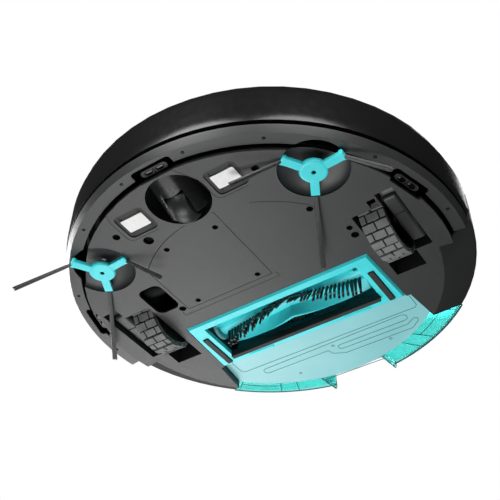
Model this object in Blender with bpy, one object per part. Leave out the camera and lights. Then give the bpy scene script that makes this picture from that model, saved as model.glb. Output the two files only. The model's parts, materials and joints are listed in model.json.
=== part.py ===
# A round robot vacuum cleaner, built the way the real machine is built: a chassis tub
# with everything bolted into it, a sprung bumper, sprung drive wheels, a swivelling
# caster, two side brushes, a belt driven main brush and a slide-out dust tank.
#
# The machine stands on the floor at z = 0 and drives towards +X. Its left side is +Y.
# The origin is on the floor, under the middle of the round body. Lengths are in metres.

import math

import bmesh
import bpy
from mathutils import Vector

for old in list(bpy.data.objects):
    bpy.data.objects.remove(old, do_unlink=True)

# ---------------------------------------------------------------- driving dimensions

BODY_RADIUS = 0.165
GROUND_CLEARANCE = 0.012
DECK_HEIGHT = 0.071
COVER_RISE = 0.003
COVER_RADIUS = 0.092
SKIN = 0.0022
GAP = 0.0004
RUNNING_GAP = 0.0008

PLATE = 0.0025
PLATE_RADIUS = BODY_RADIUS - 0.0165
TUB_RADIUS = PLATE_RADIUS - 0.005
SLOPE_START = BODY_RADIUS - 0.027
WALL_TOP = 0.0562
EDGE_ROUND = 0.012
SHELL_SETBACK = 0.0008
DECK_SKIN = 0.002
BUTTON_X = 0.118
BUTTON_RADIUS = 0.009

BUMPER_HALF_ANGLE = 97.0
BUMPER_TRAVEL = 0.003
BUMPER_END_GAP = 2.4
RING_RISE = 0.0035
RING_INNER = PLATE_RADIUS + BUMPER_TRAVEL
RING_OUTER = BODY_RADIUS - 0.0045
GROOVE_LOW = 0.0096
GROOVE_HIGH = 0.014
GROOVE_RADIUS = BODY_RADIUS - 0.005
CHAMFER_TOP = 0.020
CHAMFER_INSET = 0.0015
BUMPER_SPRING_Y = 0.055
BUMPER_SPRING_Z = 0.045
BUMPER_SPRING_RADIUS = 0.003

WHEEL_RADIUS = 0.031
WHEEL_WIDTH = 0.021
WHEEL_X = 0.005
WHEEL_OUTER_Y = 0.1175
WHEEL_Y = WHEEL_OUTER_Y - WHEEL_WIDTH / 2
TYRE_THICKNESS = 0.0047
AXLE_RADIUS = 0.003
WELL_REAR = WHEEL_X - WHEEL_RADIUS - 0.010
WELL_FRONT = WHEEL_X + WHEEL_RADIUS + 0.0025
WELL_MARGIN = 0.002
ARM_PIVOT_X = 0.045
ARM_PIVOT_Z = 0.027
ARM_THICKNESS = 0.0115
ARM_HUB_RADIUS = 0.015
ARM_WHEEL_GAP = 0.0025
ARM_WELL_REAR = -0.017
ARM_WELL_FRONT = 0.0498
WELL_WALL = 0.0015
DRIVE_MOTOR_RADIUS = 0.010
DRIVE_MOTOR_LENGTH = 0.020

CASTER_X = 0.122
CASTER_RADIUS = 0.0145
CASTER_WIDTH = 0.016
CASTER_TRAIL = 0.007
CASTER_WELL_RADIUS = CASTER_TRAIL + CASTER_RADIUS + 0.0027
CASTER_WELL_HEIGHT = 0.028
CASTER_AXLE_RADIUS = 0.0015
CASTER_STEM_RADIUS = 0.0045
CUP_WALL = 0.0012

SIDE_BRUSH_X = 0.094
SIDE_BRUSH_Y = 0.0955
DISH_RADIUS = 0.026
DISH_DEPTH = 0.009
HUB_RADIUS = 0.0105
HUB_DROP = 0.003
ARM_REACH = 0.0245
ARM_ANGLES = (-33.0, 87.0, 207.0)
SIDE_MOTOR_RADIUS = 0.010
SIDE_MOTOR_INSET = 0.0045
SIDE_MOTOR_HEIGHT = 0.024
STEM_RADIUS = 0.003

# Where each tuft's tip lies, from the brush's axis: (x, y, height above the floor).
TUFT_TIPS = {
    "left": ((0.0275, -0.0516, 0.0032), (-0.0215, 0.0486, 0.0032), (-0.0817, -0.0402, 0.0032)),
    "right": ((0.0293, -0.0647, 0.0032), (-0.0238, 0.0410, 0.0032), (-0.0856, -0.0586, 0.0032)),
}

BRUSH_X = -0.031
BRUSH_AXIS_Z = 0.029
BRUSH_RADIUS = 0.022
BRUSH_CORE_RADIUS = 0.0085
BRUSH_HALF_LENGTH = 0.0685
BRUSH_ROWS = 3
BRUSH_SWEEP = 62.0
CHAMBER_MARGIN = 0.007
CHAMBER_FRONT = BRUSH_X + BRUSH_RADIUS + CHAMBER_MARGIN
CHAMBER_REAR = BRUSH_X - BRUSH_RADIUS - CHAMBER_MARGIN
CHAMBER_HALF_WIDTH = BRUSH_HALF_LENGTH + 0.0045
CHAMBER_WALL = 0.002

PULLEY_Y = CHAMBER_HALF_WIDTH + 0.006
PULLEY_WIDTH = 0.0045
BRUSH_PULLEY_RADIUS = 0.009
MOTOR_PULLEY_RADIUS = 0.005
BRUSH_MOTOR_X = 0.017
BRUSH_MOTOR_Z = 0.032
BRUSH_MOTOR_RADIUS = 0.012
BRUSH_MOTOR_LENGTH = 0.036
BELT_THICKNESS = 0.0012

GUARD_FRONT = CHAMBER_FRONT + 0.0005
GUARD_REAR = CHAMBER_REAR - 0.0015
GUARD_FRONT_HALF = CHAMBER_HALF_WIDTH + 0.0125
GUARD_REAR_HALF = CHAMBER_HALF_WIDTH + 0.0158
GUARD_DROP = 0.0015
WINDOW_FRONT = CHAMBER_FRONT - CHAMBER_MARGIN
WINDOW_REAR = CHAMBER_REAR + CHAMBER_MARGIN + 0.0005
WINDOW_HALF = CHAMBER_HALF_WIDTH - 0.001
STRIP_Y = WINDOW_HALF + 0.007
STRIP_WIDTH = 0.0056
STRIP_LENGTH = 0.039
SCRAPER_THICKNESS = 0.004

TANK_FRONT = GUARD_REAR - 0.002
TANK_FRONT_HALF = 0.092
TANK_CORNER_X = -0.097
TANK_CORNER_HALF = 0.096
TANK_RISE = 0.007
TANK_BASE_RADIUS = SLOPE_START - 0.0012
TANK_BASE_THICKNESS = 0.002
TANK_SKIN = 0.0018
RIM_RISE = 0.015
GRIP_HALF = 0.030
GRIP_FRONT = -(BODY_RADIUS - 0.026)
GRIP_TOP = 0.044
FIN_RADIUS = BODY_RADIUS - 0.0025
INLET_HALF = 0.055
INLET_LOW = 0.032
INLET_HIGH = 0.049
LATCH_HALF = 0.010
LATCH_LOW = 0.026
LATCH_HIGH = 0.037

BATTERY_COVER_REAR = 0.0195
BATTERY_COVER_RADIUS = 0.0995
BATTERY_COVER_RIGHT = -0.067
BATTERY_COVER_LEFT = 0.0135
BATTERY_SIZE = (0.050, 0.068, 0.019)
BOARD_GAP = 0.0074
BOARD_THICKNESS = 0.0016

FAN_X = 0.064
FAN_Y = 0.040
FAN_RADIUS = 0.021
FAN_HEIGHT = 0.031

CONTACT_X = 0.1208
CONTACT_Y = 0.0404
CONTACT_LENGTH = 0.0128
CONTACT_WIDTH = 0.0196
CONTACT_FRAME_LENGTH = 0.024
CONTACT_FRAME_WIDTH = 0.026

# Each cliff sensor's angle from the front, and the radius of its inner face.
SENSORS = {
    "front": (0.0, PLATE_RADIUS - 0.0007),
    "left": (73.0, PLATE_RADIUS - 0.003),
    "right": (-73.0, PLATE_RADIUS - 0.003),
}
SENSOR_HALF_LENGTH = 0.0115
SENSOR_DEPTH = 0.0062
SENSOR_RISE = 0.005

# Holes in the plate and in the battery cover: (x, y, radius).
SCREW_HOLES = [
    (0.1167, 0.0625, 0.0030),
    (0.1167, -0.0625, 0.0030),
    (0.1008, -0.0443, 0.0041),
    (0.0631, 0.0739, 0.0026),
    (0.0303, 0.0885, 0.0024),
    (0.0217, 0.0885, 0.0031),
    (0.0224, -0.0713, 0.0030),
]
COVER_HOLES = [
    (0.0853, -0.0391, 0.0022),
    (0.0851, 0.0058, 0.0022),
    (0.0243, 0.0033, 0.0022),
    (0.0241, -0.0543, 0.0022),
]

UNDERSIDE = GROUND_CLEARANCE
PLATE_TOP = UNDERSIDE + PLATE
DECK_UNDER = DECK_HEIGHT - DECK_SKIN
COVER_HEIGHT = DECK_HEIGHT + COVER_RISE
BUMPER_INNER = BODY_RADIUS - SKIN
FAN_LOW = PLATE_TOP + 0.0005
FAN_HIGH = FAN_LOW + FAN_HEIGHT

# ---------------------------------------------------------------- materials


def material(name, colour, roughness, metallic=0.0, alpha=1.0):
    made = bpy.data.materials.new(name)
    made.use_nodes = True
    shader = made.node_tree.nodes["Principled BSDF"]
    shader.inputs["Base Color"].default_value = (*colour, 1.0)
    shader.inputs["Roughness"].default_value = roughness
    shader.inputs["Metallic"].default_value = metallic
    shader.inputs["Alpha"].default_value = alpha
    made.diffuse_color = (*colour, alpha)
    return made


DARK_GREY = material("dark_grey_plastic", (0.055, 0.055, 0.057), 0.5)
GLOSS_BLACK = material("gloss_black_plastic", (0.012, 0.012, 0.013), 0.15)
MATTE_BLACK = material("matte_black_plastic", (0.02, 0.02, 0.02), 0.55)
TURQUOISE = material("turquoise_plastic", (0.06, 0.70, 0.76), 0.35)
CLEAR_TEAL = material("clear_teal_plastic", (0.10, 0.62, 0.60), 0.1, alpha=0.5)
PALE_TEAL = material("pale_teal_plastic", (0.30, 0.62, 0.64), 0.4)
TYRE_RUBBER = material("tyre_rubber", (0.18, 0.18, 0.18), 0.8)
BLACK_RUBBER = material("black_rubber", (0.015, 0.015, 0.015), 0.7)
BRISTLE = material("black_bristle", (0.02, 0.02, 0.02), 0.6)
NICKEL = material("nickel_plate", (0.75, 0.75, 0.76), 0.25, 1.0)
STEEL = material("steel", (0.55, 0.55, 0.56), 0.3, 1.0)
BATTERY_WRAP = material("battery_wrap", (0.02, 0.08, 0.25), 0.4)
BOARD_GREEN = material("board_green", (0.01, 0.15, 0.05), 0.5)
FILTER_WHITE = material("filter_white", (0.75, 0.75, 0.72), 0.9)
COVER_GREY = material("cover_grey_plastic", (0.10, 0.10, 0.11), 0.25)

# ---------------------------------------------------------------- shape builders


def add_object(name, mesh, skin):
    made = bpy.data.objects.new(name, mesh)
    bpy.context.scene.collection.objects.link(made)
    if skin is None:
        made.hide_render = True
        made.display_type = "WIRE"
    else:
        mesh.materials.append(skin)
    return made


def finish_mesh(name, shape, skin):
    bmesh.ops.remove_doubles(shape, verts=shape.verts, dist=1e-7)
    bmesh.ops.recalc_face_normals(shape, faces=shape.faces)
    mesh = bpy.data.meshes.new(name)
    shape.to_mesh(mesh)
    shape.free()
    mesh.shade_smooth()
    mesh.set_sharp_from_angle(angle=math.radians(35))
    return add_object(name, mesh, skin)


def loft(shape, rings, closed):
    # Joins a list of equal rings of vertices, and caps the first and last one.
    count = len(rings[0])
    pairs = list(zip(rings, rings[1:]))
    if closed:
        pairs.append((rings[-1], rings[0]))
    for first, second in pairs:
        for i in range(count):
            j = (i + 1) % count
            corners = [first[i], first[j], second[j], second[i]]
            if len(set(corners)) > 2:
                shape.faces.new(list(dict.fromkeys(corners)))
    if not closed:
        shape.faces.new(rings[0][::-1])
        shape.faces.new(rings[-1])


def turned(name, skin, profile, centre=(0.0, 0.0), steps=64, start=0.0, sweep=360.0, axis="Z"):
    # Turns a closed profile of (radius, height) points about an upright or level axis.
    shape = bmesh.new()
    full = sweep >= 360.0
    count = steps if full else steps + 1
    on_axis = {}
    rings = []
    for step in range(count):
        angle = math.radians(start + sweep * step / steps)
        ring = []
        for index, (radius, height) in enumerate(profile):
            if radius < 1e-7 and index in on_axis:
                ring.append(on_axis[index])
                continue
            across = (radius * math.cos(angle), radius * math.sin(angle))
            if axis == "Z":
                spot = (centre[0] + across[0], centre[1] + across[1], height)
            else:
                spot = (centre[0] + across[0], height, centre[1] + across[1])
            vertex = shape.verts.new(spot)
            if radius < 1e-7:
                on_axis[index] = vertex
            ring.append(vertex)
        rings.append(ring)
    loft(shape, rings, full)
    return finish_mesh(name, shape, skin)


def prism(name, skin, outline, low, high):
    # Extrudes an outline of (x, y) points from one height to another.
    shape = bmesh.new()
    rings = []
    for height in (low, high):
        rings.append([shape.verts.new((x, y, height)) for x, y in outline])
    loft(shape, rings, False)
    return finish_mesh(name, shape, skin)


def side_prism(name, skin, outline, y_from, y_to):
    # Extrudes an outline of (x, z) points along Y.
    shape = bmesh.new()
    rings = []
    for y in (y_from, y_to):
        rings.append([shape.verts.new((x, y, z)) for x, z in outline])
    loft(shape, rings, False)
    return finish_mesh(name, shape, skin)


def block(name, skin, x_range, y_range, z_range):
    outline = rectangle(x_range, y_range)
    return prism(name, skin, outline, min(z_range), max(z_range))


def rod(name, skin, radius, start, end, steps=24):
    # A round bar between two points.
    start = Vector(start)
    end = Vector(end)
    turn = (end - start).to_track_quat("Z", "Y")
    shape = bmesh.new()
    rings = []
    for spot in (start, end):
        ring = []
        for step in range(steps):
            angle = 2 * math.pi * step / steps
            offset = turn @ Vector((radius * math.cos(angle), radius * math.sin(angle), 0))
            ring.append(shape.verts.new(spot + offset))
        rings.append(ring)
    loft(shape, rings, False)
    return finish_mesh(name, shape, skin)


def rectangle(x_range, y_range):
    x0, x1 = sorted(x_range)
    y0, y1 = sorted(y_range)
    return [(x0, y0), (x1, y0), (x1, y1), (x0, y1)]


def arc(centre, radius, start, end, steps):
    points = []
    for step in range(steps + 1):
        angle = math.radians(start + (end - start) * step / steps)
        points.append((centre[0] + radius * math.cos(angle), centre[1] + radius * math.sin(angle)))
    return points


def rounded(x_range, y_range, radius, steps=4):
    x0, x1 = sorted(x_range)
    y0, y1 = sorted(y_range)
    corners = [(x1 - radius, y1 - radius), (x0 + radius, y1 - radius)]
    corners += [(x0 + radius, y0 + radius), (x1 - radius, y0 + radius)]
    outline = []
    for index, corner in enumerate(corners):
        outline += arc(corner, radius, 90 * index, 90 * index + 90, steps)
    return outline


def mirrored(outline):
    # Adds the other half of an outline that is given for +Y only, front to rear.
    return outline + [(x, -y) for x, y in reversed(outline)]


def turned_about(outline, angle):
    cosine = math.cos(math.radians(angle))
    sine = math.sin(math.radians(angle))
    return [(x * cosine - y * sine, x * sine + y * cosine) for x, y in outline]


def boolean(target, tool, operation):
    step = target.modifiers.new(operation.lower(), "BOOLEAN")
    step.operation = operation
    step.solver = "EXACT"
    step.object = tool
    return target


def unite(target, *tools):
    for tool in tools:
        boolean(target, tool, "UNION")


def cut(target, *tools):
    for tool in tools:
        boolean(target, tool, "DIFFERENCE")


def keep_inside(target, tool):
    boolean(target, tool, "INTERSECT")


def sweep(name, skin, points, radius, resolution=1):
    # A round wire or tuft along a list of points, with flat ends.
    curve = bpy.data.curves.new(name, "CURVE")
    curve.dimensions = "3D"
    curve.bevel_depth = 1.0
    curve.bevel_resolution = resolution
    curve.use_fill_caps = True
    curve.twist_mode = "MINIMUM"
    spline = curve.splines.new("POLY")
    spline.points.add(len(points) - 1)
    for index, spot in enumerate(points):
        spline.points[index].co = (*spot, 1.0)
        share = index / (len(points) - 1)
        spline.points[index].radius = radius(share) if callable(radius) else radius
    made = bpy.data.objects.new(name, curve)
    bpy.context.scene.collection.objects.link(made)
    curve.materials.append(skin)
    return made


def coil(name, skin, start, end, radius, wire, turns, steps=8):
    # A helical spring whose first and last turns stop at the two given points.
    start = Vector(start)
    end = Vector(end)
    turn = (end - start).to_track_quat("Z", "Y")
    length = (end - start).length - 2 * wire
    points = []
    for step in range(turns * steps + 1):
        angle = 2 * math.pi * step / steps
        along = wire + length * step / (turns * steps)
        offset = Vector((radius * math.cos(angle), radius * math.sin(angle), along))
        points.append(start + turn @ offset)
    return sweep(name, skin, points, wire, 0)


# ---------------------------------------------------------------- shared outlines


def skirt_start():
    return BUMPER_HALF_ANGLE + BUMPER_END_GAP


def tank_corner_angle():
    return math.degrees(math.atan2(TANK_CORNER_HALF, TANK_CORNER_X))


def tank_outline(margin, radius, steps):
    # The tank in plan: straight front, slightly flared sides, then out along a radius.
    start = tank_corner_angle() - math.degrees(margin / radius)
    corner = (TANK_CORNER_X, TANK_CORNER_HALF + margin)
    front = (TANK_FRONT + margin, TANK_FRONT_HALF + margin)
    rear = arc((0, 0), radius, start, 360 - start, 2 * steps)
    return [front, corner] + rear + [(corner[0], -corner[1]), (front[0], -front[1])]


def edge_profile(outer, top, fillet, steps=4):
    return [(outer - fillet + x, top - fillet + z) for x, z in arc((0, 0), fillet, 90, 0, steps)]


def guard_outline(margin, front, rear):
    half = [(front + margin, GUARD_FRONT_HALF + margin), (rear - margin, GUARD_REAR_HALF + margin)]
    return mirrored(half)


def battery_cover_outline(margin):
    radius = BATTERY_COVER_RADIUS + margin
    left = BATTERY_COVER_LEFT + margin
    right = BATTERY_COVER_RIGHT - margin
    start = math.degrees(math.asin(right / radius))
    end = math.degrees(math.asin(left / radius))
    rear = BATTERY_COVER_REAR - margin
    return arc((0, 0), radius, start, end, 12) + [(rear, left), (rear, right)]


# ---------------------------------------------------------------- chassis


def chassis():
    body = prism("chassis", DARK_GREY, plate_outline(), UNDERSIDE, PLATE_TOP)
    half = skirt_start() + 0.7
    low = UNDERSIDE + 0.001
    inner = TUB_RADIUS - SKIN
    wall = [(inner, low), (TUB_RADIUS, low), (TUB_RADIUS, WALL_TOP), (inner, WALL_TOP)]
    unite(body, turned("front_wall", None, wall, start=-half, sweep=2 * half, steps=40))
    for side in (1, -1):
        add_skirt(body, side)
        add_well_boxes(body, side)
        add_dish_cup(body, side)
    cup_top = UNDERSIDE + CASTER_WELL_HEIGHT + 0.002
    cup_radius = CASTER_WELL_RADIUS + CUP_WALL
    cup = [(0, low), (cup_radius, low), (cup_radius, cup_top), (0, cup_top)]
    unite(body, turned("caster_cup", None, cup, (CASTER_X, 0), steps=40))
    unite(body, prism("battery_box", None, battery_cover_outline(0.001), low, battery_box_top()))
    half = CHAMBER_HALF_WIDTH + CHAMBER_WALL
    x_range = (CHAMBER_REAR - CHAMBER_WALL, CHAMBER_FRONT + CHAMBER_WALL)
    unite(body, block("chamber_box", None, x_range, (-half, half), (low, chamber_roof() + CHAMBER_WALL)))
    for side in (1, -1):
        cut_wells(body, side)
        cut_dish(body, side)
    cut_caster_well(body)
    cut_battery_room(body)
    cut_chamber(body)
    cut_tank_bay(body)
    cut_underside(body)
    # Many of these walls share a plane, where the exact solver leaves open edges.
    for step in body.modifiers:
        step.solver = "MANIFOLD"
    return body


def plate_outline():
    half = skirt_start() + 0.7
    front = arc((0, 0), PLATE_RADIUS, -half, half, 40)
    return front + arc((0, 0), SLOPE_START - 0.001, half, 360 - half, 32)


def slope_profile(inset):
    # The slope from the flat underside up to the side wall, moved inwards by the inset.
    outer = BODY_RADIUS - inset
    rim_z = UNDERSIDE + RIM_RISE + inset
    return [(SLOPE_START - inset / 4, UNDERSIDE + inset), (outer - 0.002, rim_z), (outer, rim_z + 0.002)]


def add_skirt(body, side):
    near, far = slope_profile(0.0003), slope_profile(SKIN)
    foot = SLOPE_START - 0.004
    profile = [(foot, UNDERSIDE + 0.0003)] + near + [(near[2][0], WALL_TOP), (far[2][0], WALL_TOP)]
    profile += [far[2], far[1], (SLOPE_START - 0.0008, PLATE_TOP - 0.0003), (foot, PLATE_TOP - 0.0003)]
    start = skirt_start()
    end = tank_corner_angle() + 1.5
    ring_start = start if side > 0 else 360 - end
    unite(body, turned("skirt", None, profile, start=ring_start, sweep=end - start, steps=8))
    middle = slope_profile(0.0011)
    back = SLOPE_START - 0.0018
    end_wall = [(back, middle[0][1])] + middle + [(middle[2][0], WALL_TOP), (back, WALL_TOP)]
    for angle, thickness in ((start + 0.1, 1.2), (tank_corner_angle() - 1.2, 2.0)):
        wall_start = angle if side > 0 else 360 - angle - thickness
        unite(body, turned("skirt_end", None, end_wall, start=wall_start, sweep=thickness, steps=1))
    front = TANK_FRONT + 0.004
    rear = TANK_CORNER_X - 0.001
    bay_side = [(front, TANK_FRONT_HALF), (front, TANK_FRONT_HALF + 0.0025)]
    bay_side += [(rear, TANK_CORNER_HALF + 0.0029), (rear, TANK_CORNER_HALF)]
    bay_side = [(x, side * y) for x, y in bay_side]
    unite(body, prism("bay_side", None, bay_side, UNDERSIDE + 0.001, WALL_TOP))


def arm_well_span():
    inner = WHEEL_Y + WHEEL_WIDTH / 2 + WELL_MARGIN
    return inner, inner + ARM_THICKNESS + 2 * GAP + 0.0015


def add_well_boxes(body, side):
    arm_inner, arm_outer = arm_well_span()
    wheel_inner = WHEEL_Y - WHEEL_WIDTH / 2 - WELL_MARGIN
    wall = WELL_WALL
    x_range = (WELL_REAR - wall, WELL_FRONT + wall)
    y_range = (side * (wheel_inner - wall), side * (arm_inner + wall))
    unite(body, block("well_box", None, x_range, y_range, (UNDERSIDE + 0.001, WALL_TOP)))
    x_range = (ARM_WELL_REAR - wall, ARM_WELL_FRONT + wall)
    y_range = (side * (arm_inner - wall), side * (arm_outer + wall))
    unite(body, block("arm_well_box", None, x_range, y_range, (UNDERSIDE + 0.001, WALL_TOP)))


def cut_wells(body, side):
    arm_inner, arm_outer = arm_well_span()
    wheel_inner = WHEEL_Y - WHEEL_WIDTH / 2 - WELL_MARGIN
    through = (UNDERSIDE - 0.001, WALL_TOP + 0.001)
    hole_y = (side * wheel_inner, side * arm_inner)
    cut(body, block("well_cut", None, (WELL_REAR, WELL_FRONT), hole_y, through))
    hole_y = (side * (arm_inner - 0.0003), side * arm_outer)
    cut(body, block("arm_well_cut", None, (ARM_WELL_REAR, ARM_WELL_FRONT), hole_y, through))
    start = (ARM_PIVOT_X, side * (wheel_inner - 0.003), ARM_PIVOT_Z)
    end = (ARM_PIVOT_X, side * (arm_outer + WELL_WALL + 0.001), ARM_PIVOT_Z)
    cut(body, rod("pivot_bore", None, AXLE_RADIUS + GAP, start, end))


def add_dish_cup(body, side):
    centre = (SIDE_BRUSH_X, side * SIDE_BRUSH_Y)
    roof = UNDERSIDE + DISH_DEPTH
    outer = DISH_RADIUS + 0.002
    profile = [(0, UNDERSIDE + 0.001), (outer, UNDERSIDE + 0.001), (outer, PLATE_TOP + 0.0005)]
    profile += [(DISH_RADIUS - 0.004, roof + 0.002), (0, roof + 0.002)]
    cup = turned("dish_cup", None, profile, centre, steps=40)
    edge = PLATE_RADIUS - 0.0006
    limit = [(0, 0), (edge, 0), (edge, WALL_TOP), (0, WALL_TOP)]
    keep_inside(cup, turned("dish_limit", None, limit, steps=96))
    unite(body, cup)


def cut_dish(body, side):
    centre = (SIDE_BRUSH_X, side * SIDE_BRUSH_Y)
    roof = UNDERSIDE + DISH_DEPTH
    bowl = [(0, UNDERSIDE - 0.001), (DISH_RADIUS, UNDERSIDE - 0.001), (DISH_RADIUS, UNDERSIDE + 0.0013)]
    bowl += [(DISH_RADIUS - 0.007, roof), (0, roof)]
    cut(body, turned("dish_bowl", None, bowl, centre, steps=40))
    cut(body, rod("stem_bore", None, STEM_RADIUS + GAP, (*centre, UNDERSIDE), (*centre, roof + 0.004)))


def cut_caster_well(body):
    centre = (CASTER_X, 0)
    low = UNDERSIDE - 0.001
    roof = UNDERSIDE + CASTER_WELL_HEIGHT
    well = [(0, low), (CASTER_WELL_RADIUS, low), (CASTER_WELL_RADIUS, roof), (0, roof)]
    cut(body, turned("caster_well", None, well, centre, steps=40))
    bore = ((*centre, roof - 0.001), (*centre, roof + 0.004))
    cut(body, rod("caster_bore", None, CASTER_STEM_RADIUS + GAP, *bore))


def chamber_roof():
    return BRUSH_AXIS_Z + BRUSH_RADIUS + 0.0025


def cut_chamber(body):
    half = CHAMBER_HALF_WIDTH
    opening = guard_outline(GAP, GUARD_FRONT, GUARD_REAR - 0.002)
    cut(body, prism("guard_opening", None, opening, UNDERSIDE - 0.001, PLATE_TOP + GAP))
    x_range = (CHAMBER_REAR, CHAMBER_FRONT)
    cut(body, block("chamber_cut", None, x_range, (-half, half), (UNDERSIDE - 0.001, chamber_roof())))
    start = (BRUSH_X, half - 0.001, BRUSH_AXIS_Z)
    end = (BRUSH_X, half + CHAMBER_WALL + 0.001, BRUSH_AXIS_Z)
    cut(body, rod("brush_bore", None, AXLE_RADIUS + 0.001 + GAP, start, end))
    x_range = (CHAMBER_REAR - CHAMBER_WALL - 0.001, CHAMBER_REAR + 0.001)
    cut(body, block("chamber_outlet", None, x_range, (-INLET_HALF, INLET_HALF), (INLET_LOW, INLET_HIGH)))


def cut_tank_bay(body):
    outline = tank_outline(0.0007, BODY_RADIUS + 0.006, 12)
    reach = [(min(x, CHAMBER_REAR - CHAMBER_WALL - 0.0003), y) for x, y in outline]
    cut(body, prism("bay_cut", None, reach, UNDERSIDE - 0.001, WALL_TOP + 0.001))


def caster_surround(name):
    # A disc round the caster's cup that other pieces stop short of.
    span = ((CASTER_X, 0, UNDERSIDE - 0.003), (CASTER_X, 0, WALL_TOP + 0.003))
    return rod(name, None, CASTER_WELL_RADIUS + CUP_WALL + GAP, *span, 40)


def battery_box_top():
    return PLATE_TOP + BATTERY_SIZE[2] + 0.002


def cut_battery_room(body):
    top = battery_box_top() + 0.001
    room = prism("battery_room", None, battery_cover_outline(-0.002), UNDERSIDE - 0.001, top)
    cut(room, caster_surround("room_end"))
    seat = prism("cover_seat", None, battery_cover_outline(GAP), UNDERSIDE - 0.001, PLATE_TOP)
    cut(seat, caster_surround("seat_end"))
    cut(body, room, seat)


def cut_underside(body):
    through = (UNDERSIDE - 0.001, PLATE_TOP + 0.001)
    notch_y = (WHEEL_Y + 0.004, WHEEL_Y + WHEEL_WIDTH / 2)
    notch = block("left_notch", None, (WELL_FRONT - 0.001, WELL_FRONT + 0.0085), notch_y, through)
    bay = rounded((0.026, 0.058), (-0.070, -0.0915), 0.006)
    cut(body, notch, prism("right_motor_bay", None, bay, *through))
    far = PLATE_RADIUS + 0.01
    for angle, inner in SENSORS.values():
        half_length = SENSOR_HALF_LENGTH + 0.004
        edge = rounded((inner - 0.0003, far), (-half_length, half_length), 0.002)
        cut(body, prism("sensor_notch", None, turned_about(edge, angle), *through))
    for x, y, radius in SCREW_HOLES:
        cut(body, rod("screw_hole", None, radius, (x, y, through[0]), (x, y, through[1]), 20))
    for side in (1, -1):
        x_range = (CONTACT_X - CONTACT_FRAME_LENGTH / 2, CONTACT_X + CONTACT_FRAME_LENGTH / 2)
        y_mid = side * CONTACT_Y
        y_range = (y_mid - CONTACT_FRAME_WIDTH / 2, y_mid + CONTACT_FRAME_WIDTH / 2)
        recess = rounded(x_range, y_range, 0.004)
        cut(body, prism("contact_recess", None, recess, UNDERSIDE - 0.001, UNDERSIDE + 0.0012))


# ---------------------------------------------------------------- fixed parts on the chassis


def top_shell():
    outer = BODY_RADIUS - SHELL_SETBACK
    low = WALL_TOP + GAP
    profile = [(0, DECK_HEIGHT)] + edge_profile(outer, DECK_HEIGHT, EDGE_ROUND) + [(outer, low)]
    inside = edge_profile(outer - DECK_SKIN, DECK_UNDER, EDGE_ROUND - DECK_SKIN)
    profile += [(outer - DECK_SKIN, low)] + inside[::-1] + [(0, DECK_UNDER)]
    shell = turned("top_shell", GLOSS_BLACK, profile, steps=60)
    ends = ((BUTTON_X, 0, DECK_UNDER - 0.001), (BUTTON_X, 0, DECK_HEIGHT + 0.001))
    cut(shell, rod("button_hole", None, BUTTON_RADIUS + GAP, *ends, 32))
    return shell


def top_cover():
    radius = COVER_RADIUS
    low = DECK_HEIGHT + GAP
    profile = [(0, COVER_HEIGHT), (radius - 0.003, COVER_HEIGHT), (radius - 0.001, COVER_HEIGHT - 0.0008)]
    profile += [(radius, low + 0.0008), (radius, low), (0, low)]
    return turned("top_cover", COVER_GREY, profile, steps=48)


def power_button():
    low = DECK_UNDER - GAP - 0.002
    flange = BUTTON_RADIUS + 0.002
    crown = DECK_HEIGHT + 0.0014
    profile = [(0, low), (flange, low), (flange, DECK_UNDER - GAP), (BUTTON_RADIUS, DECK_UNDER - GAP)]
    profile += [(BUTTON_RADIUS, crown - 0.0005), (BUTTON_RADIUS - 0.0005, crown), (0, crown)]
    return turned("power_button", TURQUOISE, profile, (BUTTON_X, 0), steps=32)


def battery():
    x_mid = BATTERY_COVER_REAR + 0.0045 + BATTERY_SIZE[0] / 2
    y_mid = (BATTERY_COVER_RIGHT + BATTERY_COVER_LEFT) / 2
    length, width, height = BATTERY_SIZE
    low = PLATE_TOP + GAP
    outline = rounded((x_mid - length / 2, x_mid + length / 2), (y_mid - width / 2, y_mid + width / 2), 0.004)
    prism("battery_pack", BATTERY_WRAP, outline, low, low + height)
    cover = prism("battery_cover", DARK_GREY, battery_cover_outline(0.0), UNDERSIDE, PLATE_TOP - GAP)
    cut(cover, caster_surround("cover_end"))
    for x, y, radius in COVER_HOLES:
        cut(cover, rod("cover_hole", None, radius, (x, y, UNDERSIDE - 0.001), (x, y, PLATE_TOP + 0.001), 16))


def main_board():
    outline = rounded((0.004, 0.088), (-0.068, 0.062), 0.004)
    high = DECK_UNDER - BOARD_GAP
    low = high - BOARD_THICKNESS
    board = prism("main_board", BOARD_GREEN, outline, low, high)
    for x in (0.012, 0.080):
        for y in (-0.060, 0.054):
            cut(board, rod("board_hole", None, 0.0016, (x, y, low - 0.001), (x, y, high + 0.001), 12))
    return board


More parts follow.
